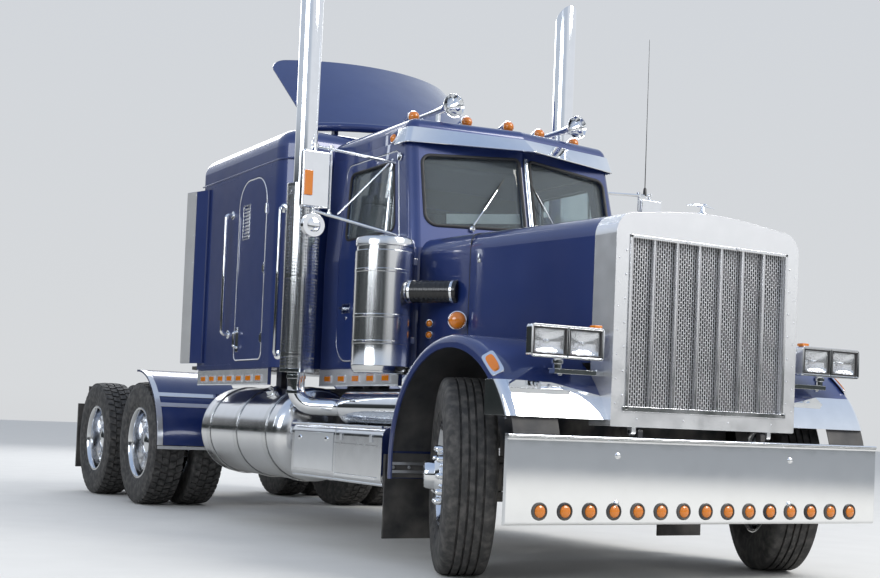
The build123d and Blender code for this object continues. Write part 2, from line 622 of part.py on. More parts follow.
# Roof deflector: a sheet swept back to its sides, with a rolled lower edge, on four legs
DEFLECTOR_SKIN = 10
DEFLECTOR_HALF = 780
DEFLECTOR_LOW = SLEEPER_ROOF + 70
DEFLECTOR_TOP = DEFLECTOR_LOW + 660
DEFLECTOR_NOSE = 2450
DEFLECTOR_SWEEP = 320
DEFLECTOR_RUN = 840
DEFLECTOR_CORNER = 110
LIP_RADIUS = 32
RUN_OVER_RISE = DEFLECTOR_RUN / (DEFLECTOR_TOP - DEFLECTOR_LOW)


def nose_arc(half, y, z):
    """Arc in plan through the middle and both ends of the deflector."""
    sweep_back = DEFLECTOR_SWEEP * (half / DEFLECTOR_HALF) ** 2
    return ThreePointArc((-half, y + sweep_back, z), (0, y, z), (half, y + sweep_back, z))


def leaning(depth, half, low):
    """Sheared solid behind the deflector's front, from a height to its top."""
    y = DEFLECTOR_NOSE - (DEFLECTOR_LOW - low) * RUN_OVER_RISE
    arc = nose_arc(half, y, low)
    back = nose_arc(half, y + depth, low)
    ends = [Line(arc @ 0, back @ 0), Line(arc @ 1, back @ 1)]
    rise = DEFLECTOR_TOP - low
    slant = Vector(0, rise * RUN_OVER_RISE, rise)
    return extrude(make_face([arc, back, *ends]), amount=slant.length, dir=slant)


deflector = leaning(DEFLECTOR_SKIN, DEFLECTOR_HALF, DEFLECTOR_LOW)
view_half = DEFLECTOR_HALF + 1
front_view = [(-view_half, DEFLECTOR_LOW - 1, 0), (-view_half, DEFLECTOR_TOP, DEFLECTOR_CORNER)]
front_view += [(view_half, DEFLECTOR_TOP, DEFLECTOR_CORNER), (view_half, DEFLECTOR_LOW - 1, 0)]
deflector &= along(front_view, DEFLECTOR_NOSE - 100, 4200)
lip_path = nose_arc(DEFLECTOR_HALF - 5, DEFLECTOR_NOSE + 5, DEFLECTOR_LOW)
deflector += sweep(Plane(lip_path @ 0, z_dir=lip_path % 0) * Circle(LIP_RADIUS), path=lip_path)
leg_space = leaning(1500, DEFLECTOR_HALF, SLEEPER_ROOF - 1)
leg_space -= leaning(DEFLECTOR_SKIN - 1, DEFLECTOR_HALF, SLEEPER_ROOF - 2)
for x in (-600, 600):
    for y in (2700, 3200):
        leg = block((x - 15, x + 15), (y, y + 50), (SLEEPER_ROOF, DEFLECTOR_TOP))
        deflector += leg & leg_space
save("air_deflector", deflector)

# Side extenders behind the sleeper
extender_rows = [(1060, 3960, 0), (1068, 3960, 0), (1150, 4235, 0), (1142, 4235, 0)]
extender = upward(extender_rows, 1170, 2520)
extender += upward([(1060, 3960, 0), (1075, 3960, 0), (1075, 4000, 0), (1060, 4000, 0)], 1170, 2520)
extender -= sleeper
save("side_extenders", *both(extender))

# Skirts with marker lamps under cab and sleeper
SKIRT_LOW = 1000
SKIRT_Z = 1030
skirts = []
for y0, y1, x1, count in ((1240, 2380, CAB_HALF, 5), (2670, 4080, SLEEPER_HALF, 7)):
    skirts += both(block((x1 - 30, x1 - 5), (y0, y1), (SKIRT_LOW, FLOOR_LOW)))
    for i in range(count):
        y = lerp(y0 + 150, y1 - 150, i / (count - 1))
        lamp = block((x1 - 5, x1 + 12), (y - 45, y + 45), (SKIRT_Z, SKIRT_Z + 36))
        lamps += both(lamp)
cab_body += Compound(skirts[:2])
sleeper_body += Compound(skirts[2:])
save("cab_body", cab_body)
save("sleeper_body", sleeper_body + boot)

# Steps, mufflers, stacks and their shields
STEP_IN = RAIL_X + 210
step_rows = [(STEP_IN, STEP_LOW, 20), (STEP_OUT, STEP_LOW, 40)]
step_rows += [(STEP_OUT, STEP_TOP, 60), (STEP_IN, STEP_TOP, 0)]
step = along(step_rows, STEP_FRONT, STEP_REAR)
for y in (900, 1740):
    step += block((RAIL_X, RAIL_X + 220), (y - 30, y + 30), (RAIL_LOW - 180, STEP_TOP))
    step += block((RAIL_X, RAIL_X + 12), (y - 30, y + 30), (STEP_TOP - 20, RAIL_TOP - 40))
save("step_boxes", *both(step))
MUFFLER_X = 790
MUFFLER_RADIUS = 110
MUFFLER_Z = STEP_TOP + MUFFLER_RADIUS
MUFFLER_FRONT = 980
MUFFLER_REAR = 1880
muffler = rod((MUFFLER_X, MUFFLER_FRONT, MUFFLER_Z), (MUFFLER_X, MUFFLER_REAR, MUFFLER_Z), MUFFLER_RADIUS)
muffler = fillet(muffler.edges(), 20)
for y in (1200, 1600):
    bracket = block((RAIL_X, MUFFLER_X), (y - 15, y + 15), (MUFFLER_Z - 25, MUFFLER_Z + 25))
    muffler += bracket
PIPE_RADIUS = 58
SHIELD_LOW = 1080
elbow_points = [(MUFFLER_X, MUFFLER_REAR, MUFFLER_Z), (MUFFLER_X, MUFFLER_REAR + 150, MUFFLER_Z)]
elbow_points += [(STACK_X, STACK_Y, MUFFLER_Z), (STACK_X, STACK_Y, SHIELD_LOW + 60)]
elbow = pipe(elbow_points, (100, 130), PIPE_RADIUS)
stack = rod((STACK_X, STACK_Y, SHIELD_LOW), (STACK_X, STACK_Y, STACK_TOP), STACK_RADIUS)
mouth = [(STACK_Y - 200, STACK_TOP + 125, 0), (STACK_Y + 200, STACK_TOP - 275, 0)]
mouth += [(STACK_Y + 200, STACK_TOP + 200, 0)]
stack -= across(mouth, STACK_X - 200, STACK_X + 200)
stack -= rod((STACK_X, STACK_Y, STACK_TOP - 500), (STACK_X, STACK_Y, STACK_TOP + 10), STACK_RADIUS - 4)
save("exhaust_stacks", *both(muffler + elbow + stack))
SHIELD_RADIUS = 115
SHIELD_TOP = 2330
SHIELD_SKIN = 4
shield_ends = ((STACK_X, STACK_Y, SHIELD_LOW), (STACK_X, STACK_Y, SHIELD_TOP))
shield = ring(*shield_ends, SHIELD_RADIUS, SHIELD_RADIUS - SHIELD_SKIN)
for z in (SHIELD_LOW + 100, 1700, SHIELD_TOP - 100):
    clamp_ends = ((STACK_X, STACK_Y, z), (STACK_X, STACK_Y, z + 25))
    shield += ring(*clamp_ends, SHIELD_RADIUS - SHIELD_SKIN / 2, STACK_RADIUS + SEAT_GAP)
save("stack_shields", *both(shield))

# Air cleaners on the cowl sides and their hoses
CLEANER_LOW = 1060
CLEANER_TOP = 1870
cleaner_rows = [(0, CLEANER_LOW, 0), (120, CLEANER_LOW, 20), (CLEANER_RADIUS, CLEANER_LOW + 60, 30)]
cleaner_rows += [(CLEANER_RADIUS, CLEANER_TOP - 90, 0), (CLEANER_RADIUS - 8, CLEANER_TOP - 85, 0)]
cleaner_rows += [(CLEANER_RADIUS - 8, CLEANER_TOP - 60, 0), (CLEANER_RADIUS, CLEANER_TOP - 55, 0)]
cleaner_rows += [(CLEANER_RADIUS, CLEANER_TOP - 20, 12), (130, CLEANER_TOP, 20), (0, CLEANER_TOP, 0)]
cleaner = Pos(CLEANER_X, CLEANER_Y, 0) * revolve(Plane.XZ * outline(cleaner_rows), Axis.Z)
for z in (CLEANER_LOW + 190, CLEANER_TOP - 150):
    cleaner += block((720, CLEANER_X), (CLEANER_Y - 25, CLEANER_Y + 25), (z, z + 40))
cleaner -= cab_outer
cleaner -= hood_solid(cowl_front, COWL_REAR, 0, FLOOR_LOW)
cleaner = max(cleaner.solids(), key=lambda solid: solid.volume)
HOSE_Z = 1530
HOSE_RADIUS = 62
hose = rod((CLEANER_X - 60, CLEANER_Y - 60, HOSE_Z), (690, 710, HOSE_Z), HOSE_RADIUS)
hose -= hood_solid(cowl_front, COWL_REAR, 0, FLOOR_LOW)
hose -= cleaner
hose = max(hose.solids(), key=lambda solid: solid.center().X)
save("air_cleaners", *both(cleaner), *both(hose))

# Fuel tanks with straps on brackets
tank_rows = [(TANK_FRONT, 0, 0), (TANK_FRONT + 20, TANK_RADIUS - 90, 200), (TANK_FRONT + 70, TANK_RADIUS, 60)]
tank_rows += [(TANK_REAR - 70, TANK_RADIUS, 60), (TANK_REAR - 20, TANK_RADIUS - 90, 200), (TANK_REAR, 0, 0)]
tank = Rot(0, 0, 90) * turned(tank_rows)
tank = Pos(TANK_X, 0, TANK_Z) * tank
strap_z = (RAIL_LOW + 20, RAIL_TOP - 20)
straps = []
tank_space = rod((TANK_X, 0, TANK_Z), (TANK_X, 5000, TANK_Z), TANK_RADIUS + SEAT_GAP)
for y in (TANK_FRONT + 250, (TANK_FRONT + TANK_REAR) / 2, TANK_REAR - 250):
    strap = rod((TANK_X, y - 30, TANK_Z), (TANK_X, y + 30, TANK_Z), TANK_RADIUS + 8)
    strap += block((RAIL_X, TANK_X - 150), (y - 30, y + 30), (RAIL_LOW - 150, TANK_Z + 250))
    straps += both(strap - tank_space)

# Air tanks across the frame
air_tanks = []
for y in (4150, 4370):
    reservoir = rod((-inner_web, y, 870), (inner_web, y, 870), 95)
    air_tanks.append(reservoir)
save("tanks", *both(tank), *straps, *air_tanks)

# Quarter fenders ahead of the drive wheels, tail plate, lamps and mud flaps
QUARTER_RADIUS = 610
QUARTER_SKIN = 12
QUARTER_X = (500, 1215)
quarter_y = DRIVE_AXLES[0]
quarter = rod((QUARTER_X[0], quarter_y, AXLE_Z), (QUARTER_X[1], quarter_y, AXLE_Z), QUARTER_RADIUS)
quarter -= rod((0, quarter_y, AXLE_Z), (2000, quarter_y, AXLE_Z), QUARTER_RADIUS - QUARTER_SKIN)
quarter &= block((0, 2000), (quarter_y - 1000, quarter_y + 20), (AXLE_Z, 2000))
for z in (AXLE_Z + 150, AXLE_Z + 400):
    depth = (QUARTER_RADIUS**2 - (z - AXLE_Z) ** 2) ** 0.5
    arm_y = quarter_y - depth
    arm = block((RAIL_X, QUARTER_X[0] + 200), (arm_y - 40, arm_y + 20), (z, z + 30))
    quarter += arm - rod((0, quarter_y, AXLE_Z), (2000, quarter_y, AXLE_Z), QUARTER_RADIUS - 1)
save("quarter_fenders", *both(quarter))
FLAP_LOW = 220
flaps = []
flap = block((600, 1190), (RAIL_REAR + TAIL_SKIN, TAIL), (FLAP_LOW, RAIL_LOW + 100))
front_flap = block((800, 1150), (STEP_FRONT - 12, STEP_FRONT), (130, STEP_LOW + 180))
save("mud_flaps", *both(flap), *both(front_flap))
tail_lamps = []
for x in (160, 290):
    lamp = rod((x, RAIL_REAR + TAIL_SKIN, 880), (x, RAIL_REAR + TAIL_SKIN + 25, 880), 52)
    tail_lamps += both(lamp)
save("marker_lamps", *lamps, *tail_lamps)

# Fifth wheel: base on the rails and a tilting plate with its throat
FIFTH_Y = WHEELBASE - 150
FIFTH_Z = 1120
FIFTH_TOP = 1210
PIVOT_RADIUS = 24
base = block((-RAIL_X, RAIL_X), (FIFTH_Y - 330, FIFTH_Y + 330), (RAIL_TOP, RAIL_TOP + 14))
for side in (1, -1):
    ear_rows = [(FIFTH_Y - 130, RAIL_TOP + 14, 0), (FIFTH_Y - 40, FIFTH_Z + 35, 30)]
    ear_rows += [(FIFTH_Y + 40, FIFTH_Z + 35, 30), (FIFTH_Y + 130, RAIL_TOP + 14, 0)]
    x = sorted((side * 330, side * 360))
    base += across(ear_rows, *x)
    pin_x = sorted((side * 300, side * 400))
    base += rod((pin_x[0], FIFTH_Y, FIFTH_Z), (pin_x[1], FIFTH_Y, FIFTH_Z), PIVOT_RADIUS)
save("fifth_wheel_base", base)
KINGPIN_BORE = 26.5
plate_rows = [(-460, FIFTH_Y - 200, 200), (-300, FIFTH_Y - 420, 160), (300, FIFTH_Y - 420, 160)]
plate_rows += [(460, FIFTH_Y - 200, 200), (460, FIFTH_Y + 300, 40), (330, FIFTH_Y + 470, 40)]
plate_rows += [(200, FIFTH_Y + 470, 30), (45, FIFTH_Y + 90, 10), (-45, FIFTH_Y + 90, 10)]
plate_rows += [(-200, FIFTH_Y + 470, 30), (-330, FIFTH_Y + 470, 40), (-460, FIFTH_Y + 300, 40)]
plate = upward(plate_rows, FIFTH_TOP - 30, FIFTH_TOP)
jaw_ring = rod((0, FIFTH_Y, FIFTH_TOP - 70), (0, FIFTH_Y, FIFTH_TOP - 29), 80)
plate += jaw_ring
plate -= rod((0, FIFTH_Y, FIFTH_TOP - 100), (0, FIFTH_Y, FIFTH_TOP + 10), KINGPIN_BORE)
for side in (1, -1):
    x = sorted((side * 380, side * 410))
    lug_rows = [(FIFTH_Y - 120, FIFTH_TOP - 30, 0), (FIFTH_Y - 40, FIFTH_Z - 38, 30)]
    lug_rows += [(FIFTH_Y + 40, FIFTH_Z - 38, 30), (FIFTH_Y + 120, FIFTH_TOP - 30, 0)]
    plate += across(lug_rows, *x)
plate -= rod((-450, FIFTH_Y, FIFTH_Z), (450, FIFTH_Y, FIFTH_Z), PIVOT_RADIUS + SEAT_GAP)
save("fifth_wheel_plate", plate)

# Hood: shell, fenders, grille shell, bars, lamps and guards
hood = hood_solid(SHELL_REAR, HOOD_REAR, 0, HOOD_LOW)
hood -= hood_solid(SHELL_REAR - 1, HOOD_REAR + 1, HOOD_SKIN, HOOD_LOW - 1)
save("hood_shell", hood)
hood_form = hood_solid(SHELL_REAR, HOOD_REAR + 200, 0, 0)

FENDER_FRONT_LOW = 835
FENDER_REAR_LOW = 470
FENDER_REAR_IN = 730
WHEEL_ARCH_CUT = 440


def fender_form(inset, x0, x1, low, rounding=0):
    """Arch over the wheel with straight feet, its outer edge rounded."""
    r = FENDER_RADIUS - inset
    form = rod((x0, FENDER_Y, FENDER_Z), (x1, FENDER_Y, FENDER_Z), r)
    form += block((x0, x1), (FENDER_Y - r, FENDER_Y + r), (low, FENDER_Z))
    if rounding == 0:
        return form
    outer_face = form.faces().sort_by(Axis.X)[-1]
    return fillet(outer_face.edges().filter_by(lambda edge: edge.center().Z > low + 1), rounding)


LIP = 60
FENDER_ROUND = 45
fender = fender_form(0, FENDER_IN, FENDER_OUT, 0, FENDER_ROUND)
fender -= block((0, 2000), (-2000, 2000), (-500, FENDER_REAR_LOW))
fender -= fender_form(FENDER_SKIN, FENDER_IN - 1, FENDER_OUT - FENDER_SKIN, -100, FENDER_ROUND - FENDER_SKIN)
fender -= fender_form(FENDER_SKIN + LIP, FENDER_IN - 1, FENDER_OUT + 1, -100)
fender -= block((0, 2000), (-3000, 0), (0, FENDER_FRONT_LOW))
fender -= block((0, FENDER_REAR_IN), (WHEEL_ARCH_CUT, 2000), (0, 3000))
fender -= hood_form
fender = max(fender.solids(), key=lambda solid: solid.volume)
save("front_fenders", *both(fender))

shell_rows = [(-SHELL_HALF, SHELL_LOW, 10), (-SHELL_HALF, SHELL_SHOULDER, SHOULDER_ROUND)]
shell_rows += [(0, SHELL_PEAK, CROWN_ROUND)]
shell_rows += [(SHELL_HALF, SHELL_SHOULDER, SHOULDER_ROUND), (SHELL_HALF, SHELL_LOW, 10)]
SHELL_PLATE = 30
SHELL_SKIN = 12
shell = along(shell_rows, SHELL_FRONT, SHELL_REAR)
inner_half = SHELL_HALF - SHELL_SKIN
inner_shoulder = SHELL_SHOULDER - SHELL_SKIN
inner_round = SHOULDER_ROUND - SHELL_SKIN
inner_rows = [(-inner_half, 0, 0), (-inner_half, inner_shoulder, inner_round)]
inner_rows += [(0, SHELL_PEAK - SHELL_SKIN, CROWN_ROUND)]
inner_rows += [(inner_half, inner_shoulder, inner_round), (inner_half, 0, 0)]
shell -= along(inner_rows, SHELL_FRONT + SHELL_PLATE, SHELL_REAR + 1)
grille_opening = rectangle((-GRILLE_HALF, GRILLE_HALF), (GRILLE_LOW, GRILLE_TOP), 16)
shell -= along(grille_opening, SHELL_FRONT - 1, SHELL_FRONT + SHELL_PLATE + 1)
LUG_X = (440, 465)
for side in (1, -1):
    x = sorted((side * LUG_X[0], side * LUG_X[1]))
    lug = block(x, (SHELL_FRONT + SHELL_PLATE - 1, HINGE_Y), (SHELL_LOW + 2, SHELL_LOW + 60))
    lug += block(x, (HINGE_Y - EAR_RADIUS, HINGE_Y + EAR_RADIUS), (HINGE_Z, SHELL_LOW + 60))
    lug += rod((x[0], HINGE_Y, HINGE_Z), (x[1], HINGE_Y, HINGE_Z), EAR_RADIUS)
    shell += lug
    shell -= rod((x[0] - 1, HINGE_Y, HINGE_Z), (x[1] + 1, HINGE_Y, HINGE_Z), HINGE_PIN + SEAT_GAP)
save("grille_shell", shell)

BAR_WIDTH = 14
bar_y = (SHELL_FRONT + 4, SHELL_FRONT + SHELL_PLATE + 14)
bar_x = [lerp(-GRILLE_HALF, GRILLE_HALF, (i + 1) / (GRILLE_BARS + 1)) for i in range(GRILLE_BARS)]
bars = [block((x - BAR_WIDTH / 2, x + BAR_WIDTH / 2), bar_y, (GRILLE_LOW, GRILLE_TOP)) for x in bar_x]
slat_y = (SHELL_FRONT + SHELL_PLATE, SHELL_FRONT + SHELL_PLATE + 12)
MESH_LAP = 15
mesh_x = (-GRILLE_HALF - MESH_LAP, GRILLE_HALF + MESH_LAP)
mesh = block(mesh_x, (slat_y[1], slat_y[1] + 4), (GRILLE_LOW - MESH_LAP, GRILLE_TOP + MESH_LAP))
save("grille", mesh + Compound(bars))

# Headlamp pods on brackets from the shell
POD_X = (665, 1095)
POD_Z = (1120, 1280)
POD_Y = (-650, -440)
POD_SKIN = 8
POD_RIM = 45
pod_front = along(rectangle(POD_X, POD_Z, 18), POD_Y[0], POD_Y[0] + POD_RIM)
pod_plane = Plane((0, POD_Y[0] + POD_RIM, 0), x_dir=(1, 0, 0), z_dir=(0, -1, 0))
pod_back_plane = Plane((0, POD_Y[1], 0), x_dir=(1, 0, 0), z_dir=(0, -1, 0))
pod_back_rows = rectangle((POD_X[0] + 10, POD_X[1] - 190), (POD_Z[0] + 20, POD_Z[1] - 20), 18)
pod_back = loft([pod_plane * outline(rectangle(POD_X, POD_Z, 18)), pod_back_plane * outline(pod_back_rows)])
pod = pod_front + pod_back
recess_x = (POD_X[0] + POD_SKIN, POD_X[1] - POD_SKIN)
recess_z = (POD_Z[0] + POD_SKIN, POD_Z[1] - POD_SKIN)
pod -= block(recess_x, (POD_Y[0] - 1, POD_Y[0] + 40), recess_z)
pod_centre = sum(POD_X) / 2
pod += rod((pod_centre, -560, 1070), (pod_centre, -560, POD_Z[0] + 5), 18)
pod += block((SHELL_HALF - SHELL_SKIN, pod_centre + 30), (-585, -535), (1050, 1074))
pod -= block((0, SHELL_HALF), (-700, -400), (0, 2000))
save("headlamp_pods", *both(pod))
lens_y = (POD_Y[0] + 14, POD_Y[0] + 40)
lenses = []
for x0, x1 in ((POD_X[0] + 12, pod_centre - 6), (pod_centre + 6, POD_X[1] - 12)):
    lenses += both(block((x0, x1), lens_y, (POD_Z[0] + 12, POD_Z[1] - 12)))
save("headlamp_lenses", *lenses)

# Bright guards on the front of the fenders
GUARD_SKIN = 4
GUARD_PROUD = GUARD_SKIN + SEAT_GAP
guard = fender_form(-GUARD_PROUD, FENDER_IN, FENDER_OUT + GUARD_PROUD, 0, FENDER_ROUND + GUARD_PROUD)
guard -= fender_form(-SEAT_GAP, FENDER_IN - 1, FENDER_OUT + SEAT_GAP, -100, FENDER_ROUND + SEAT_GAP)
guard_rows = [(600, FENDER_FRONT_LOW, 0), (1250, FENDER_FRONT_LOW, 0), (1250, 1010, 30)]
guard_rows += [(900, 1010, 120), (600, 950, 0)]
guard &= along(guard_rows, -1000, -400)
guard = max(guard.solids(), key=lambda solid: solid.volume)
save("fender_guards", *both(guard))

# Mirrors on the doors
MIRROR_X = 1290
MIRROR_Y = 1500
MIRROR_Z = (CAB_BELT + 220, CAB_EAVES - 120)
BALL_Z = 1955
head = fillet(block((MIRROR_X - 90, MIRROR_X + 90), (MIRROR_Y - 25, MIRROR_Y + 25), MIRROR_Z).edges(), 12)
mirror_unit = head + rod((MIRROR_X, MIRROR_Y, BALL_Z), (MIRROR_X, MIRROR_Y, MIRROR_Z[1] + 40), 11)
mirror_unit += rod((MIRROR_X + 11, MIRROR_Y, MIRROR_Z[1] + 30), (755, 1440, MIRROR_Z[1] - 15), 10)
mirror_unit += rod((MIRROR_X + 11, MIRROR_Y, MIRROR_Z[0] - 15), (785, 1350, CAB_BELT + 90), 10)
mirror_unit += rod((MIRROR_X, MIRROR_Y - 20, BALL_Z), (MIRROR_X, MIRROR_Y + 20, BALL_Z), 72)
mirror_unit -= cab_outer
mirror_unit = max(mirror_unit.solids(), key=lambda solid: solid.volume)
for name, shape in zip(("left", "right"), both(mirror_unit)):
    save(f"mirror_{name}", shape)

# Knuckles and tie rod
EAR_GAP = 6
KNUCKLE_EAR = 34
WHEEL_OFFSET = FRONT_TRACK_HALF - KINGPIN_X
ARM_LENGTH = 200
BALL_RADIUS = 24
FLANGE_X = (EYE_RADIUS + 8, EYE_RADIUS + 34)
HUB_BORE = 42


def knuckle():
    """Left knuckle straight ahead, with its kingpin at the origin."""
    ear_z = EYE_HALF + EAR_GAP
    body = rod((0, 0, -ear_z - KNUCKLE_EAR), (0, 0, ear_z + KNUCKLE_EAR), KINGPIN_RADIUS)
    for z0, z1 in ((-ear_z - KNUCKLE_EAR, -ear_z), (ear_z, ear_z + KNUCKLE_EAR)):
        body += rod((0, 0, z0), (0, 0, z1), EYE_RADIUS)
        body += block((0, FLANGE_X[1]), (-EYE_RADIUS, EYE_RADIUS), (z0, z1))
    body += block(FLANGE_X, (-EYE_RADIUS, EYE_RADIUS), (-ear_z - KNUCKLE_EAR, ear_z + KNUCKLE_EAR))
    body += rod((FLANGE_X[0], 0, 0), (WHEEL_OFFSET + 40, 0, 0), HUB_BORE - SEAT_GAP)
    arm_z = -ear_z - KNUCKLE_EAR
    body += block((-22, 22), (0, ARM_LENGTH), (arm_z, arm_z + 30))
    body += rod((0, ARM_LENGTH, arm_z), (0, ARM_LENGTH, arm_z + 30), 28)
    body += rod((0, ARM_LENGTH, arm_z - 34), (0, ARM_LENGTH, arm_z + 10), 11)
    return body


def steered(shape, side):
    """A shape drawn at a kingpin, put in place at the resting steering angle."""
    return Pos(side * KINGPIN_X, 0, AXLE_Z) * Rot(0, 0, -STEER_AT_REST) * shape


left_knuckle = knuckle()
save("knuckle_left", steered(left_knuckle, 1))
save("knuckle_right", steered(mirror(left_knuckle, about=Plane.YZ), -1))
rod_z = AXLE_Z - EYE_HALF - EAR_GAP - KNUCKLE_EAR - 34
ball_x = ARM_LENGTH * sin(radians(STEER_AT_REST))
ball_y = ARM_LENGTH * cos(radians(STEER_AT_REST))
TIE_RADIUS = 12
tie_rod = rod((-KINGPIN_X + ball_x, ball_y, rod_z + 14), (KINGPIN_X + ball_x, ball_y, rod_z + 14), TIE_RADIUS)
for side in (1, -1):
    x = side * KINGPIN_X + ball_x
    tie_rod += rod((x, ball_y, rod_z), (x, ball_y, rod_z + 28), BALL_RADIUS)
    tie_rod -= rod((x, ball_y, rod_z - 5), (x, ball_y, rod_z + 33), 11 + SEAT_GAP)
save("tie_rod", tie_rod)


# Wheels: tyre and rim with hub, the twins on one hub
def tyre():
    """Tyre centred at the origin, turning about x."""
    half, bead = TYRE_WIDTH / 2, RIM_WIDTH / 2
    rows = [(-bead, RIM_RADIUS, 0), (-bead, RIM_RADIUS + 14, 0), (-half, 400, 0), (-half + 20, 490, 0)]
    rows += [(-half + 34, TYRE_RADIUS, 0), (half - 34, TYRE_RADIUS, 0), (half - 20, 490, 0)]
    rows += [(half, 400, 0), (bead, RIM_RADIUS + 14, 0), (bead, RIM_RADIUS, 0)]
    return turned(rows)


DISC = 12
BARREL = 10
HUB_RADIUS = 110
DRUM_RADIUS = 205


def rim(disc_x, dish):
    """Rim barrel with its disc at a place along the axle, dished towards the barrel."""
    half = RIM_WIDTH / 2
    outer = RIM_RADIUS - SEAT_GAP
    inner = outer - BARREL
    well = inner - 20
    lip = RIM_RADIUS + 10
    rows = [(-half - RIM_LIP, inner, 0), (-half - RIM_LIP, lip, 0), (-half - SEAT_GAP, lip, 0)]
    rows += [(-half - SEAT_GAP, outer, 0), (half + SEAT_GAP, outer, 0), (half + SEAT_GAP, RIM_RADIUS + 10, 0)]
    rows += [(half + RIM_LIP, RIM_RADIUS + 10, 0), (half + RIM_LIP, inner, 0)]
    barrel = turned(rows)
    inward = disc_x + DISC
    disc_rows = [(disc_x, HUB_RADIUS - 5, 0), (disc_x, 200, 0), (disc_x + dish, inner + 1, 0)]
    disc_rows += [(disc_x + dish + DISC, inner + 1, 0), (inward, 200, 0), (inward, HUB_RADIUS - 5, 0)]
    disc = turned(disc_rows)
    for angle in range(0, 360, 36):
        hole = Pos(0, 238, 0) * Rot(0, 90, 0) * Cylinder(25, 200)
        disc -= Pos(disc_x + dish / 2, 0, 0) * Rot(angle, 0, 0) * hole
    return barrel + disc


def front_wheel():
    """Left front wheel about the origin: rim, hub, cap and drum."""
    disc_x = 85
    wheel = rim(disc_x, -45)
    hub_rows = [(-85, HUB_BORE, 0), (-85, DRUM_RADIUS, 0), (20, DRUM_RADIUS, 0), (20, HUB_RADIUS, 0)]
    hub_rows += [(disc_x + 40, HUB_RADIUS, 0), (disc_x + 40, 70, 0), (disc_x + 105, 55, 20)]
    hub_rows += [(disc_x + 110, 0, 0), (45, 0, 0), (45, HUB_BORE, 0)]
    return wheel + turned(hub_rows)


def rear_wheel():
    """Left twin wheels about the origin, midway between the two tyres."""
    half = DUAL_SPACING / 2
    outer = Pos(half, 0, 0) * rim(-half, half - RIM_WIDTH / 2 + 8)
    inner = mirror(outer, about=Plane.YZ)
    bore = SPINDLE_RADIUS + SEAT_GAP
    hub_rows = [(-half - 130, bore, 0), (-half - 130, DRUM_RADIUS, 0), (-40, DRUM_RADIUS, 0)]
    hub_rows += [(-40, HUB_RADIUS, 0), (60, HUB_RADIUS, 0), (60, 80, 0), (half + 60, 60, 20)]
    hub_rows += [(half + 65, 0, 0), (half + 50, 0, 0), (half + 50, bore, 0)]
    return outer + inner + turned(hub_rows)


front_tyre = tyre()
front_rim = front_wheel()
for name, side in (("left", 1), ("right", -1)):
    turn = Rot(0, 0, 0 if side == 1 else 180)
    place = Pos(side * WHEEL_OFFSET, 0, 0) * turn
    save(f"tyre_front_{name}", steered(place * front_tyre, side))
    save(f"rim_front_{name}", steered(place * front_rim, side))
twin = rear_wheel()
half = DUAL_SPACING / 2
for label, y in zip(("forward", "rearward"), DRIVE_AXLES):
    for name, side in (("left", 1), ("right", -1)):
        turn = Rot(0, 0, 0 if side == 1 else 180)
        place = Pos(side * (DUAL_OUTER_X - half), y, AXLE_Z) * turn
        tyres = [place * Pos(x, 0, 0) * front_tyre for x in (-half, half)]
        save(f"tyres_{label}_{name}", *tyres)
        save(f"rims_{label}_{name}", place * twin)
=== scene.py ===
from math import acos, asin, atan, copysign, cos, degrees, pi, radians, sin, tan

import bmesh
import bpy
from mathutils import Matrix, Vector


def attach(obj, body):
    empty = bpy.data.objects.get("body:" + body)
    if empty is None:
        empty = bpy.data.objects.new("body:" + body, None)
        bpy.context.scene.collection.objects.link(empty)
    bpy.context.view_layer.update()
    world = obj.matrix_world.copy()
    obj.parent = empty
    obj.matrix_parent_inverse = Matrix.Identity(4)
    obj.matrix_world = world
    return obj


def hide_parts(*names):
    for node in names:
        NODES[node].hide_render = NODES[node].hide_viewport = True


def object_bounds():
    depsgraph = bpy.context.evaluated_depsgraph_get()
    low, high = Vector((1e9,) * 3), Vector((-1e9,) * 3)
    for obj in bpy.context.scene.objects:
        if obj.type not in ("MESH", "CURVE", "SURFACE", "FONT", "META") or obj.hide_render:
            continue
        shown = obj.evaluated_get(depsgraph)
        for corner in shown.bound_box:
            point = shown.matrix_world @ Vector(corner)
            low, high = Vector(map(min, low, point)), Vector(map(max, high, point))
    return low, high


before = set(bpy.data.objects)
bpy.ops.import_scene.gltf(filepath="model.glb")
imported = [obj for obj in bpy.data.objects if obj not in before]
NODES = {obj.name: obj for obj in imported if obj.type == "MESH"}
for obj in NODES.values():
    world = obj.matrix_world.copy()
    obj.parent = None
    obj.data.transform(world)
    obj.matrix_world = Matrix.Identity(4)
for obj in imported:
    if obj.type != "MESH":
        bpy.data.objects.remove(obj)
cad_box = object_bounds()

# Rows of three numbers are millimetres: x, distance back from the front axle, height. Vectors are metres.
MM = 0.001
AXLE_Y = -3196
BUMPER_FACE = -670
SHELL_Y, SHELL_REAR, SHELL_HALF = -650, -470, 613
HOOD_REAR, COWL_REAR, COWL_HALF = 600, 1150, 745
CAB_HALF, CAB_HALF_TOP, PILLAR_Y, PILLAR_Y_TOP, VEE = 800, 760, 1130, 1290, 120
BELT, EAVES, ROOF = 1840, 2530, 2670
KINGPIN, OFFSET, STEER = 840, 190, -25
TYRE_RADIUS, TWIN_X, HALF_TWIN = 515, 898.5, 171.5
DRIVE_Y = {"forward": 5128, "rearward": 6448}
STACK_X, STACK_Y, SHIELD_RADIUS = 1030, 2240, 114
CLEANER_X, CLEANER_Y, CLEANER_RADIUS, HOSE_Z = 1000, 1090, 174, 1548
MIRROR_X, MIRROR_Y, BALL_Z, ARM_X = 1290, 1500, 1955, 1188
SLEEPER_HALF, SLEEPER_REAR = 1060, 4150
TANK_X, TANK_Z = 770, 670
ORIGIN = Vector((0, 0, 0))
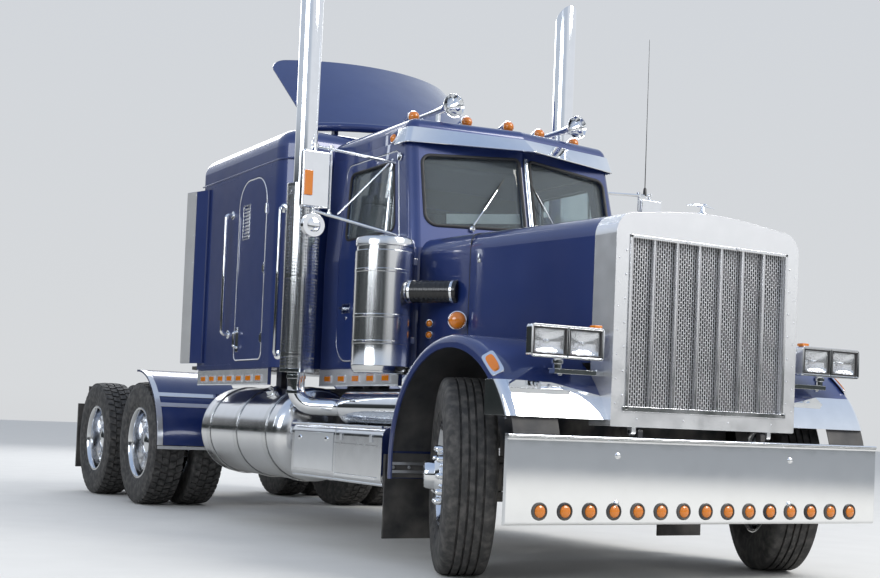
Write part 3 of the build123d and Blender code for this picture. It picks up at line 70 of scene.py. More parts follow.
OUT, BACK, AHEAD, UP = (1, 0, 0), (0, 1, 0), (0, -1, 0), (0, 0, 1)
SIDES = (("left", 1), ("right", -1))


def at(x, y, z):
    """Point in metres in the part's frame."""
    return Vector((x, y + AXLE_Y, z)) * MM


def spot(place):
    """Vector of a place given as a vector or a row."""
    return place if isinstance(place, Vector) else at(*place)


def turns(count, start=0):
    """Angles of one whole turn in equal steps."""
    return [2 * pi * (k + start) / count for k in range(count)]


def across(way):
    """Direction that a way doesn't run along."""
    return Vector(UP) if abs(way.z) < 0.9 else Vector(OUT)


def evenly(first, last, count):
    """Numbers in equal steps from the first to the last."""
    return [first + (last - first) * i / (count - 1) for i in range(count)]


# Mesh forms
class Form:
    """Closed forms gathered into one mesh."""

    def __init__(self):
        self.bm = bmesh.new()

    def verts(self, points):
        return [self.bm.verts.new(p) for p in points]

    def face(self, verts):
        try:
            self.bm.faces.new(verts)
        except ValueError:
            pass

    def block(self, corners):
        """Eight corners, the last of three limits changing slowest."""
        v = self.verts(corners)
        for f in ((0, 2, 3, 1), (4, 5, 7, 6), (0, 1, 5, 4), (2, 6, 7, 3), (0, 4, 6, 2), (1, 3, 7, 5)):
            self.face([v[i] for i in f])

    def box(self, x, y, z):
        """Block between pairs of limits."""
        self.block([at(u, v, w) for w in z for v in y for u in x])

    def skin(self, rings, closed=False):
        """Faces between rings of vertices; a ring of one is a point."""
        for a, b in list(zip(rings, rings[1:])) + ([(rings[-1], rings[0])] if closed else []):
            count = max(len(a), len(b))
            for k in range(count if count > 1 else 0):
                m = (k + 1) % count
                if len(a) == 1:
                    self.face([a[0], b[k], b[m]])
                elif len(b) == 1:
                    self.face([a[k], b[0], a[m]])
                else:
                    self.face([a[k], b[k], b[m], a[m]])

    def prism(self, points, direction):
        """Polygon moved along a direction in metres."""
        rings = [self.verts([spot(p) + Vector(move) for p in points]) for move in (ORIGIN, direction)]
        self.skin(rings)
        self.face(rings[0][::-1])
        self.face(rings[1])

    def tube(self, points, radius, sides=12, closed=False):
        """Round bar along points; its radius in metres is one number or one for each point."""
        points = [spot(p) for p in points]
        count = len(points)
        rings, normal = [], None
        for i, point in enumerate(points):
            before = points[i - 1] if i or closed else point
            after = points[(i + 1) % count] if i < count - 1 or closed else point
            way = (after - before).normalized()
            if normal is None:
                normal = way.cross(across(way)).normalized()
            normal = (normal - way * normal.dot(way)).normalized()
            side = way.cross(normal)
            r = radius[i] if isinstance(radius, list) else radius
            rings.append(self.verts([point + (normal * cos(a) + side * sin(a)) * r for a in turns(sides)]))
        self.skin(rings, closed)
        if not closed:
            self.face(rings[0][::-1])
            self.face(rings[-1])

    def lathe(self, rows, origin, axis, sides=32, closed=False):
        """Rows of reach along the axis and radius, in millimetres, turned about an axis."""
        axis = Vector(axis).normalized()
        u = axis.cross(across(axis)).normalized()
        w = axis.cross(u)
        rings = []
        for reach, radius in rows:
            base = spot(origin) + axis * reach * MM
            ring = [base + (u * cos(a) + w * sin(a)) * radius * MM for a in turns(sides)]
            rings.append(self.verts(ring if radius else [base]))
        self.skin(rings, closed)

    def pillow(self, centre, half, lean=0):
        """Stuffed pad of half sizes in millimetres, leaning back by an angle in degrees."""
        def swell(value, blunt=0.42):
            return copysign(abs(value) ** blunt, value)

        turn, rows, around = Matrix.Rotation(radians(-lean), 3, "X"), 16, 32
        rings = []
        for j in range(rows + 1):
            v = pi * (j / rows - 0.5)
            flat, up = swell(cos(v)) if 0 < j < rows else 0, swell(sin(v))
            shares = [(flat * swell(cos(u)), flat * swell(sin(u)), up) for u in turns(around if flat else 1)]
            ring = [Vector([h * s for h, s in zip(half, share)]) for share in shares]
            rings.append(self.verts([at(*centre) + turn @ point * MM for point in ring]))
        self.skin(rings)

    def bolt(self, place, axis, size=9, head=6):
        """Hexagon bolt head with a washer."""
        self.lathe([(0, 0), (0, size * 1.25), (1.5, size * 1.25), (1.5, 0)], place, axis, 16)
        rows = [(1.5, 0), (1.5, size), (head, size), (head + 1, size * 0.8), (head + 1, 0)]
        self.lathe(rows, place, axis, 6)

    def rivet(self, place, axis, size=5):
        """Domed rivet."""
        rows = [(0, size), (size * 0.35, size * 0.8), (size * 0.55, size * 0.4), (size * 0.6, 0)]
        self.lathe(rows, place, axis, 8)

    def mirrored(self):
        """The same forms again on the other side."""
        whole = self.bm.verts[:] + self.bm.edges[:] + self.bm.faces[:]
        copy = bmesh.ops.duplicate(self.bm, geom=whole)["geom"]
        for v in copy:
            if isinstance(v, bmesh.types.BMVert):
                v.co.x = -v.co.x
        bmesh.ops.reverse_faces(self.bm, faces=[f for f in copy if isinstance(f, bmesh.types.BMFace)])

    def mesh(self, name, smooth=35, outward=True):
        """Finished mesh, with sharp edges above an angle and faces turned outward unless told not to."""
        if outward:
            bmesh.ops.recalc_face_normals(self.bm, faces=self.bm.faces[:])
        for f in self.bm.faces:
            f.smooth = True
        for e in self.bm.edges:
            if len(e.link_faces) == 2 and e.calc_face_angle(0) > radians(smooth):
                e.smooth = False
        data = bpy.data.meshes.new(name)
        self.bm.to_mesh(data)
        self.bm.free()
        return data


def forms(count):
    """New forms, one for each piece."""
    return [Form() for k in range(count)]


def rounded(points, radius, steps=6):
    """Points of a rigid bar's line with its corners turned to arcs, in metres."""
    points = [spot(p) for p in points]
    line = [points[0]]
    for a, b, c in zip(points, points[1:], points[2:]):
        u, w = (a - b).normalized(), (c - b).normalized()
        half = acos(max(-1, min(1, u.dot(w)))) / 2
        reach = min(radius / tan(half), (a - b).length * 0.49, (c - b).length * 0.49)
        centre = b + (u + w).normalized() * (reach * tan(half) / sin(half))
        start, end = b + u * reach - centre, b + w * reach - centre
        turn = start.angle(end, 0)
        if sin(turn) < 0.001:
            line.append(b)
            continue
        for i in range(steps + 1):
            ray = start * sin((1 - i / steps) * turn) + end * sin(i / steps * turn)
            line.append(centre + ray / sin(turn))
    return line + [points[-1]]


# Materials
DUST = (0.34, 0.31, 0.27)


def darker(tone, share):
    return tuple(c * share for c in tone)


class Finish:
    """Nodes of a material, given by its name, or of the world."""

    def __init__(self, owner):
        self.owner = bpy.data.materials.new(owner) if isinstance(owner, str) else owner
        self.owner.use_nodes = True
        self.tree = self.owner.node_tree
        self.shader = self.tree.nodes.get("Principled BSDF") or self.tree.nodes["Background"]

    def fill(self, target, value):
        """Link an input to a socket, or give it a plain value."""
        if isinstance(value, bpy.types.NodeSocket):
            self.tree.links.new(value, target)
        else:
            target.default_value = (*value, 1) if target.type == "RGBA" else value

    def put(self, **inputs):
        """Fill the shader's inputs, whose names have _ for a space."""
        for name, value in inputs.items():
            self.fill(self.shader.inputs[name.replace("_", " ")], value)

    def node(self, kind, out=0, settings=(), **inputs):
        """New node with its settings and inputs; gives one of its outputs."""
        made = self.tree.nodes.new("ShaderNode" + kind)
        for name, value in settings:
            setattr(made, name, value)
        for name, value in inputs.items():
            self.fill(made.inputs[name.replace("_", " ")], value)
        return made.outputs[out]

    def place(self):
        return self.node("TexCoord", "Object")

    def noise(self, scale, detail=4, stretch=None):
        """Noise over the object's own place."""
        place = self.node("Mapping", Vector=self.place(), Scale=stretch) if stretch else self.place()
        return self.node("TexNoise", "Fac", Vector=place, Scale=scale, Detail=detail)

    def span(self, source, low, high, a, b):
        """Value mapped from one range to another."""
        return self.node("MapRange", "Result", Value=source, From_Min=low, From_Max=high, To_Min=a, To_Max=b)

    def mixed(self, share, a, b):
        """Two colours mixed by a share; each is a socket or a colour."""
        out = self.node("Mix", "Result", [("data_type", "RGBA")])
        for name, kind, value in (("Factor", "VALUE", share), ("A", "RGBA", a), ("B", "RGBA", b)):
            self.fill([s for s in out.node.inputs if (s.name, s.type) == (name, kind)][0], value)
        return [s for s in out.node.outputs if s.type == "RGBA"][0]

    def ramp(self, source, rows):
        """Colours over a value."""
        out = self.node("ValToRGB", "Color", Fac=source)
        elements = out.node.color_ramp.elements
        while len(elements) < len(rows):
            elements.new(0.5)
        for element, (place, colour) in zip(elements, rows):
            element.position, element.color = place, (*colour, 1)
        return out

    def dusted(self, tint, heights, grain, patches, most):
        """Base colour with patches of dust, thicker toward the lower of two heights."""
        height = self.node("SeparateXYZ", "Z", Vector=self.place())
        dust = self.node("Math", settings=[("operation", "MULTIPLY")])
        self.fill(dust.node.inputs[0], self.span(height, *heights, 1, 0))
        self.fill(dust.node.inputs[1], self.span(self.noise(*grain), *patches, 0, most))
        self.put(Base_Color=self.mixed(dust, tint, DUST))

    def rough(self, source, low, high, a, b):
        self.put(Roughness=self.span(source, low, high, a, b))

    def bump(self, source, strength, distance=0.001, edge=0):
        """Fine relief, with softened edges where asked."""
        relief = self.node("Bump", Strength=strength, Distance=distance, Height=source)
        if edge:
            soft = self.node("Bevel", settings=[("samples", 3)], Radius=edge)
            self.fill(relief.node.inputs["Normal"], soft)
        self.put(Normal=relief)


def painted(name, tone, deep, coat=1.0, rough=0.32, dusty=0.35):
    """Gloss paint under clear coat, dusty low down."""
    f = Finish(name)
    flake = f.span(f.noise(900, 1), 0.35, 0.75, 0.0, 0.12)
    tint = f.mixed(flake, f.mixed(f.noise(1.7, 3), deep, tone), tuple(min(1, c) for c in darker(tone, 2.4)))
    f.dusted(tint, (0.35, 1.5), (7, 6), (0.4, 0.75), dusty)
    f.rough(f.noise(5, 5), 0.3, 0.8, rough, rough + 0.12)
    f.put(Coat_Weight=coat, Coat_Roughness=0.025, Metallic=0.25)
    f.bump(f.noise(260, 2), 0.015, 0.0005, 0.004)
    return f.owner


def metal(name, tone, rough, spread=0.06, brushed=None, edge=0.003, dusty=0.12, relief=0.02, metallic=1.0):
    """Bare or plated metal with streaks and a little dust."""
    f = Finish(name)
    grain = f.noise(40, 5, brushed) if brushed else f.noise(11, 5)
    f.dusted(f.mixed(grain, darker(tone, 0.9), tone), (0.25, 1.2), (9, 6), (0.45, 0.8), dusty)
    f.rough(grain, 0.3, 0.75, rough, rough + spread)
    f.put(Metallic=metallic)
    f.bump(grain, relief, 0.0006, edge)
    return f.owner


def plastic(name, tone, rough, grain, relief, dusty):
    """Moulded plastic or rubber with a fine grain."""
    f = Finish(name)
    f.dusted(f.mixed(f.noise(6, 5), darker(tone, 0.75), tone), (0.2, 1.3), (6, 7), (0.35, 0.8), dusty)
    f.rough(f.noise(14, 4), 0.3, 0.8, rough - 0.06, rough + 0.1)
    f.bump(f.noise(grain, 2), relief, 0.0006, 0.002)
    return f.owner


def lamp(name, tone, glow=0.08):
    """Moulded lens with fine flutes."""
    f = Finish(name)
    wave = f.node("TexWave", "Fac", Vector=f.place(), Scale=60, Distortion=1.5)
    f.rough(f.noise(30, 2), 0.3, 0.7, 0.08, 0.16)
    f.put(Base_Color=f.mixed(wave, darker(tone, 0.72), tone), Coat_Weight=1.0, Coat_Roughness=0.03,
          Emission_Color=tone, Emission_Strength=glow)
    f.bump(wave, 0.25)
    return f.owner


def glazed(name, tone, clear, rough=0.0):
    """Clear glass with faint wiping marks."""
    f = Finish(name)
    smear = f.noise(5, 6)
    f.rough(smear, 0.4, 0.8, rough, rough + 0.03)
    f.put(Base_Color=f.mixed(smear, darker(tone, 0.94), tone), Transmission_Weight=clear, IOR=1.45)
    return f.owner


BLUE = painted("blue_paint", (0.013, 0.034, 0.155), (0.007, 0.017, 0.092), dusty=0.10)
CHROME = metal("chrome", (0.90, 0.92, 0.95), 0.03, 0.03, dusty=0.06, relief=0.006)
POLISHED = metal("polished_aluminium", (0.86, 0.87, 0.89), 0.10, 0.08, dusty=0.10, relief=0.012)
STAINLESS = metal("stainless", (0.78, 0.79, 0.80), 0.13, 0.08, brushed=(1, 1, 0.04), dusty=0.06)
SATIN = metal("satin_aluminium", (0.66, 0.67, 0.70), 0.33, 0.12, brushed=(1, 0.05, 1), dusty=0.2)
WIRE = metal("grille_wire", (0.64, 0.64, 0.66), 0.34, 0.12, dusty=0.3)
# Metallic below one lets the pale base colour show as a diffuse white on the shell: a painted reflection of
# bright sky on its flank
SHELL = metal("polished_shell", (0.88, 0.89, 0.91), 0.16, 0.10, dusty=0.08, relief=0.01, metallic=0.72)
# The same for the bright trim: its diffuse white share is a painted reflection, keeping strips and beads pale
# where polished metal would mirror the shaded side
BRIGHT = metal("bright_trim", (0.86, 0.87, 0.89), 0.15, 0.08, dusty=0.06, relief=0.01, metallic=0.7)
CHASSIS = painted("chassis_paint", (0.035, 0.036, 0.042), (0.02, 0.02, 0.024), 0.3, 0.45, dusty=0.75)
CAST = metal("cast_steel", (0.20, 0.19, 0.18), 0.45, 0.2, dusty=0.6, relief=0.25)
RUBBER = plastic("black_rubber", (0.028, 0.028, 0.03), 0.55, 420, 0.12, 0.35)
BLACK = plastic("black_plastic", (0.02, 0.02, 0.022), 0.38, 500, 0.08, 0.15)
LINER = plastic("arch_liner", (0.035, 0.036, 0.04), 0.7, 120, 0.2, 0.45)
AMBER = lamp("amber_lens", (0.62, 0.175, 0.002))
RED = lamp("red_lens", (0.55, 0.01, 0.008))
CLEAR = glazed("clear_lens", (0.97, 0.98, 1.0), 0.9, 0.03)
GLASS = glazed("glass", (0.62, 0.70, 0.72), 0.92)
MIRROR = metal("mirror_glass", (0.9, 0.92, 0.94), 0.01, 0.01, edge=0, dusty=0.03, relief=0.002)
CARD = plastic("white_card", (0.82, 0.82, 0.80), 0.7, 700, 0.05, 0.0)
FLAP = plastic("pale_flap", (0.40, 0.40, 0.40), 0.45, 300, 0.06, 0.15)
HOSE = plastic("hose_rubber", (0.018, 0.018, 0.019), 0.16, 120, 0.03, 0.05)

# Tyre rubber, greyer with dust on the tread and in the grooves
f = Finish("tyre_rubber")
tint = f.mixed(f.noise(9, 6), (0.018, 0.018, 0.019), (0.045, 0.044, 0.043))
f.put(Base_Color=f.mixed(f.span(f.noise(26, 8), 0.42, 0.78, 0.0, 0.55), tint, (0.16, 0.15, 0.14)))
f.rough(f.noise(18, 4), 0.3, 0.8, 0.62, 0.85)
f.bump(f.noise(330, 4), 0.25, 0.0008)
TYRE = f.owner

# Woven seat cloth
f = Finish("seat_cloth")
CLOTH_TONE = (0.10, 0.10, 0.115)
weave = f.node("TexBrick", "Color", Vector=f.place(), Scale=160, Mortar_Size=0.12, Color1=CLOTH_TONE,
               Color2=(0.06, 0.06, 0.07), Mortar=darker(CLOTH_TONE, 0.4))
f.rough(f.noise(60, 3), 0.3, 0.7, 0.78, 0.95)
f.put(Base_Color=f.mixed(f.noise(12, 5), weave, CLOTH_TONE), Sheen_Weight=0.35)
f.bump(weave.node.outputs["Fac"], 0.35)
SEAT_CLOTH = f.owner

# Raised diamond pattern on bright plate
f = Finish("tread_plate")
PLATE_TONE = (0.78, 0.79, 0.80)
turned = f.node("Mapping", Vector=f.place(), Rotation=(0, 0, radians(45)), Scale=(34, 34, 34))
diamonds = f.node("TexVoronoi", "Distance", [("distance", "CHEBYCHEV")],
                  Vector=turned, Scale=1.0, Randomness=0.0)
raised = f.span(diamonds, 0.22, 0.32, 1, 0)
f.rough(f.noise(20, 5), 0.3, 0.8, 0.16, 0.34)
f.put(Base_Color=f.mixed(raised, darker(PLATE_TONE, 0.8), PLATE_TONE), Metallic=1.0)
f.bump(raised, 0.6, 0.0015)
TREAD_PLATE = f.owner

# Finishes of the CAD nodes, by how a node's name begins; a later row goes over an earlier one
NODE_FINISH = (
    (BLUE, "cowl cab_body cab_roof cab_door sleeper air_deflector side_extenders quarter_fenders hood"
           " front_fenders"),
    (CHROME, "front_bumper sun_visor air_horns exhaust_stacks headlamp_pods fender_guards mirror grille"),
    (SHELL, "grille_shell"),
    (POLISHED, "tanks step_boxes rim"),
    (STAINLESS, "stack_shields air_cleaners"),
    (CHASSIS, "chassis_frame front_axle rear_axles radiator driveline knuckle tie_rod"),
    (CAST, "fifth_wheel"),
    (RUBBER, "air_springs mud_flaps"),
    (AMBER, "marker_lamps roof_marker_lamps"),
    (GLASS, "windshield_glass door_glass"),
    (CLEAR, "headlamp_lenses"),
    (TYRE, "tyre"),
)
for finish, starts in NODE_FINISH:
    for name, node in NODES.items():
        if name.startswith(tuple(starts.split())):
            node.data.materials.clear()
            node.data.materials.append(finish)


def piece(name, form, finish, body="chassis", replaces="", bevel=0, smooth=35, both=False):
    """One object of the visual model, from a form or a mesh; both adds its mirror image."""
    if both:
        form.mirrored()
    data = form if isinstance(form, bpy.types.Mesh) else form.mesh(name, smooth)
    data.materials.append(finish)
    obj = bpy.data.objects.new(name, data)
    bpy.context.scene.collection.objects.link(obj)
    if bevel:
        mod = obj.modifiers.new("edges", "BEVEL")
        mod.width = bevel * MM
        mod.segments = 2
        mod.limit_method = "ANGLE"
        mod.angle_limit = radians(40)
        mod.harden_normals = True
    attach(obj, body)
    if replaces:
        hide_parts(*replaces.split())
    return obj


# Tyres about the x axis at the origin: ribbed in front, lugged behind
SIDE_ROWS = [(105, 289.9), (108, 291), (112, 303), (114, 304.5), (118, 312), (124, 332), (128, 334),
             (131, 350), (135, 372), (137.4, 394), (137, 418), (134.5, 440), (131.5, 456), (132.5, 459),
             (130, 470), (126, 484)]
RIBBED_CROWN = [(120, 498), (112, 507), (100, 511.5), (66, 513), (64, 501), (56, 501), (54, 513.5),
                (24, 514.5), (22, 502), (14, 502), (12, 514.8), (0, 515)]
LUGGED_CROWN = [(121, 493), (112, 499), (60, 501), (0, 501.5)]
LUGS, LUG_SHARE, LUG_TOP, LUG_FOOT, SHOULDER_FOOT = 48, 0.36, 514.5, 497, 488
LUG_ROWS = ((-120, -66, 0.0, 8), (-58, -6, 0.5, 5), (6, 58, 0.0, -5), (66, 120, 0.5, -8))


def about_axle(rows, sides, closed=False):
    """Form turned about the x axis at the origin."""
    form = Form()
    form.lathe(rows, ORIGIN, OUT, sides, closed)
    return form


def tyre(name, crown, lug_rows=()):
    """Tyre with rows of lugs, each given by its limits in x, its shift and its skew."""
    half = SIDE_ROWS + crown
    form = about_axle(half + [(-x, r) for x, r in reversed(half[:-1])], 96, closed=True)
    for x0, x1, shift, skew in lug_rows:
        lean = skew * MM / 0.51
        for mid in turns(LUGS, shift):
            corners = []
            for x, tilt in ((x0, -lean), (x1, lean)):
                top = LUG_TOP - 9 * (abs(x) / 121) ** 4
                for side in (-1, 1):
                    angle = mid + tilt + side * 2 * pi / LUGS * LUG_SHARE
                    for r in (SHOULDER_FOOT if abs(x) > 100 else LUG_FOOT, top):
                        corners.append(Vector((x, sin(angle) * r, cos(angle) * r)) * MM)
            form.block(corners)
    return form.mesh(name, 30)


def shifted(data, moves):
    """Copies of one mesh joined into another, one for each placing matrix."""
    gathered = bmesh.new()
    for move in moves:
        copy = data.copy()
        copy.transform(move)
        if move.determinant() < 0:
            copy.flip_normals()
        gathered.from_mesh(copy)
        bpy.data.meshes.remove(copy)
    joined = bpy.data.meshes.new(data.name)
    gathered.to_mesh(joined)
    gathered.free()
    return joined


# Polished disc wheels with round hand holes, nut covers and hub caps
HAND_HOLES, HOLE_RADIUS, HOLE_CIRCLE = 10, 25, 236
NUTS, NUT_CIRCLE, SCREW_CIRCLE = 10, 143, 64
BARREL_HALF = [(105.4, 289.6), (105.4, 299), (108, 300), (111.5, 299.5), (113, 297), (113, 285), (110, 280.5)]
BARREL_ROWS = BARREL_HALF + [(70, 273), (-70, 273)] + [(-x, r) for x, r in reversed(BARREL_HALF)]


def spoke(angle, radius):
    """Place on a circle about the axle."""
    return Vector((0, cos(angle), sin(angle))) * radius * MM


def disc_wheel(name, rows):
    """Barrel and a disc with hand holes, about the x axis at the origin."""
    disc_form, cutter_form = about_axle(rows, 96, closed=True), Form()
    for a in turns(HAND_HOLES, 0.5):
        bore = [(-300, 0), (-300, HOLE_RADIUS), (300, HOLE_RADIUS), (300, 0)]
        cutter_form.lathe(bore, spoke(a, HOLE_CIRCLE), OUT, 28)
    disc, cutter = (bpy.data.objects.new(name, form.mesh(name, 30)) for form in (disc_form, cutter_form))
    for obj in (disc, cutter):
        bpy.context.scene.collection.objects.link(obj)
    cut = disc.modifiers.new("holes", "BOOLEAN")
    cut.object = cutter
    cut.solver = "EXACT"
    soften = disc.modifiers.new("edges", "BEVEL")
    soften.width = 0.003
    soften.segments = 2
    soften.angle_limit = radians(50)
    bpy.context.view_layer.update()
    data = bpy.data.meshes.new_from_object(disc.evaluated_get(bpy.context.evaluated_depsgraph_get()))
    for obj in (disc, cutter):
        bpy.data.objects.remove(obj)
    barrel = about_axle(BARREL_ROWS, 96, closed=True)
    barrel.bm.from_mesh(data)
    return barrel.mesh(name, 40, outward=False)


def hub(name, rows, base):
    """Hub with nut covers proud of its face, which is the base."""
    form = about_axle(rows, 48)
    cover = [(0, 0), (0, 23), (4, 23), (5, 19), (38, 17.5), (48, 13), (53, 6), (54, 0)]
    for a in turns(NUTS):
        form.lathe([(base + x, r) for x, r in cover], spoke(a, NUT_CIRCLE), OUT, 20)
    return form


def placed(x, y, turn):
    """Wheel place from its centre and turn about the upright, in millimetres and degrees."""
    return Matrix.Translation(at(x, y, TYRE_RADIUS)) @ Matrix.Rotation(radians(turn), 4, "Z")


swing_x, swing_y = OFFSET * cos(radians(STEER)), OFFSET * sin(radians(STEER))
front_places = {"left": placed(KINGPIN + swing_x, swing_y, STEER),
                "right": placed(-KINGPIN - swing_x, -swing_y, STEER + 180)}
front_disc = [(97, 104), (97, 168), (95, 196), (84, 222), (66, 252), (52, 273.5), (40, 273.5), (54, 248),
              (73, 216), (84, 192), (85, 168), (85, 104)]
front_hub = hub("front_hub", [(96, 0), (96, 118), (101, 118), (104, 112), (128, 108), (134, 100),
                              (150, 78), (188, 72), (200, 66), (204, 52), (205, 0)], 97)
front_drum = about_axle([(-84, 60), (-84, 190), (-80, 204), (-70, 205), (-66, 200), (-48, 200),
                         (-44, 205), (10, 205), (18, 200), (20, 60)], 64, closed=True)
front_parts = (
    ("tyre", tyre("front_tyre", RIBBED_CROWN), TYRE),
    ("rim", disc_wheel("front_rim", front_disc), POLISHED),
    ("hub", front_hub.mesh("front_hub", 30), CHROME),
    ("drum", front_drum.mesh("front_drum", 30), CAST),
)
for side, place in front_places.items():
    for label, data, finish in front_parts:
        stands_for = f"{label}_front_{side}" if label in ("tyre", "rim") else ""
        piece(f"front_{label}_{side}", shifted(data, [place]), finish, f"wheel_front_{side}",
              replaces=stands_for)

twin_disc = [(12, 104), (12, 186), (16, 204), (40, 234), (72, 268), (84, 274), (98, 274.5), (84, 266),
             (52, 230), (26, 200), (20, 186), (0, 186), (0, 104)]
twin_hub = hub("twin_hub", [(10, 0), (10, 118), (22, 118), (26, 110), (60, 108), (64, 92), (70, 88),
                            (200, 80), (206, 86), (216, 86), (222, 74), (230, 40), (231, 0)], 12)
for a in turns(8, 0.5):
    twin_hub.bolt(spoke(a, SCREW_CIRCLE) + Vector((0.216, 0, 0)), OUT, 7, 6)
twin_drum = about_axle([(-301, 60), (-301, 190), (-297, 204), (-280, 205), (-276, 200), (-250, 200),
                        (-246, 205), (-50, 205), (-42, 198), (-40, 60)], 64, closed=True)
outer_disc = [(x - HALF_TWIN, r) for x, r in twin_disc]
outer, inner = (Matrix.Translation((s * HALF_TWIN * MM, 0, 0)) for s in (1, -1))
flipped = Matrix.Scale(-1, 4, OUT) @ outer
unmoved = Matrix()
drive_parts = (
    ("tyres", tyre("drive_tyres", LUGGED_CROWN, LUG_ROWS), TYRE, (inner, outer)),
    ("rims", disc_wheel("drive_rims", outer_disc), POLISHED, (outer, flipped)),
    ("hub", twin_hub.mesh("drive_hub", 30), CHROME, (unmoved,)),
    ("drum", twin_drum.mesh("drive_drum", 30), CAST, (unmoved,)),
)
for axle, y in DRIVE_Y.items():
    for side, s in SIDES:
        place = placed(s * TWIN_X, y, 0 if s > 0 else 180)
        for label, data, finish, moves in drive_parts:
            stands_for = f"{label}_{axle}_{side}" if label in ("tyres", "rims") else ""
            piece(f"drive_{label}_{axle}_{side}", shifted(data, [place @ m for m in moves]), finish,
                  f"wheels_{axle}_{side}", replaces=stands_for)

# Grille: rounded bars before a staggered wire mesh
GRILLE_X, GRILLE_Z = 515, (904, 1748)
BARS, WIRE_PITCH, BRIDGE_PITCH, WIRE_HALF = 6, 14.7, 26, 2.6
bars, wires, backing, surround, screws, ornament = forms(6)
for x in evenly(-GRILLE_X, GRILLE_X, BARS + 2)[1:-1]:
    profile = [(-7, 12), (-7, 2), (-5, -2), (0, -3.5), (5, -2), (7, 2), (7, 12)]
    bars.prism([(x + u, SHELL_Y + 6 + w, GRILLE_Z[0]) for u, w in profile], (0, 0, 0.844))
piece("grille_bars", bars, POLISHED, "hood", "grille")
columns = int(2 * GRILLE_X / WIRE_PITCH)
for i, x in enumerate(evenly(-GRILLE_X, GRILLE_X, columns + 1)):
    wires.box((x - WIRE_HALF, x + WIRE_HALF), (SHELL_Y + 26, SHELL_Y + 30), GRILLE_Z)
    for k in range(int((GRILLE_Z[1] - GRILLE_Z[0]) / BRIDGE_PITCH) if i < columns else 0):
        z = GRILLE_Z[0] + (k + 0.5 + 0.5 * (i % 2)) * BRIDGE_PITCH
        if z < GRILLE_Z[1] - 5:
            wires.box((x, x + WIRE_PITCH), (SHELL_Y + 27, SHELL_Y + 29.5), (z - WIRE_HALF, z + WIRE_HALF))
piece("grille_mesh", wires, WIRE, "hood")
backing.box((-GRILLE_X - 4, GRILLE_X + 4), (SHELL_Y + 44, SHELL_Y + 47), (GRILLE_Z[0] - 4, GRILLE_Z[1] + 4))
piece("grille_backing", backing, BLACK, "hood")
for x, z in (((-529, -513), (890, 1762)), ((513, 529), (890, 1762)), ((-529, 529), (1746, 1762)),
             ((-545, 545), (880, 906))):
    surround.box(x, (SHELL_Y - 6, SHELL_Y + 3), z)
piece("grille_surround", surround, POLISHED, "hood", bevel=2)
for z in range(960, 1681, 120):
    for x in (-548, 548):
        screws.rivet((x, SHELL_Y, z), AHEAD, 6)
    for x in (-590, 590):
        screws.rivet((x, SHELL_Y, z - 40), AHEAD, 4)
for x in (-170, 170):
    screws.bolt((x, SHELL_Y - 6, 1754), AHEAD, 7, 4)
for x in (-450, -150, 150, 450):
    screws.rivet((x, SHELL_Y, 845), AHEAD, 5)
piece("shell_screws", screws, SATIN, "hood")
ornament.lathe([(0, 26), (5, 25), (9, 14), (40, 8), (44, 0)], (0, -566, 1930), UP, 24)
wing = range(-95, 96, 10)
ornament.tube([(x, -566 + abs(x) * 0.16, 1976 - (x / 95) ** 2 * 7) for x in wing],
              [0.0012 + 0.0055 * (1 - (x / 96) ** 2) for x in wing], 10)
ornament.tube([(0, y, 1976) for y in (-600, -590, -566, -540, -520)], [0.001, 0.006, 0.008, 0.005, 0.001], 12)
piece("hood_ornament", ornament, CHROME, "hood")


# Hood: centre hinge strip, rear seal and latches
def hood_top(x, y, crown=2500):
    """Height of the hood's top, whose middle is rounded to the crown radius."""
    share = (y - SHELL_REAR) / (COWL_REAR - SHELL_REAR)
    half = SHELL_HALF + (COWL_HALF - SHELL_HALF) * share
    peak, shoulder = 1932 + 28 * share, 1862 + 28 * share
    slope = (peak - shoulder) / half
    bend = crown * sin(atan(slope))
    if abs(x) < bend:
        return peak - slope * bend + crown * (cos(asin(abs(x) / crown)) - cos(asin(bend / crown)))
    return peak - slope * abs(x)


strip, seal, latch = forms(3)
tops = [(y, hood_top(0, y)) for y in range(-468, 599, 41)]
strip.prism([(-11, y, z + 3.2) for y, z in tops] + [(-11, y, z - 2) for y, z in reversed(tops)],
            (0.022, 0, 0))
strip.tube([(0, y, z + 3.5) for y, z in tops], 0.0042, 10)
piece("hood_centre_strip", strip, CHROME, "hood")
seal_y = HOOD_REAR + 4
arch = [(-698, 1130), (-698, 1768), (-696, 1874)]
arch += [(x, hood_top(x, seal_y) - 2) for x in range(-552, 553, 46)]
arch += [(696, 1874), (698, 1768), (698, 1130)]
seal.tube(rounded([(x, seal_y, z) for x, z in arch], 0.09, 5), 0.0035, 8)
piece("hood_rear_seal", seal, RUBBER)
latch.box((688, 698), (496, 528), (1700, 1722))
latch.tube([(697, 512, 1704), (702, 512, 1730), (698, 514, 1752)], 0.0045, 8)
piece("hood_latches", latch, CHROME, "hood", bevel=2, both=True)


# Headlamps: bright bezels, reflectors and fluted lenses
def border(u, v, wide, high):
    """Four rectangles along the inside of a rectangle's edge."""
    level = (u, (v[0], v[0] + high)), (u, (v[1] - high, v[1]))
    return (*level, ((u[0], u[0] + wide), v), ((u[1] - wide, u[1]), v))


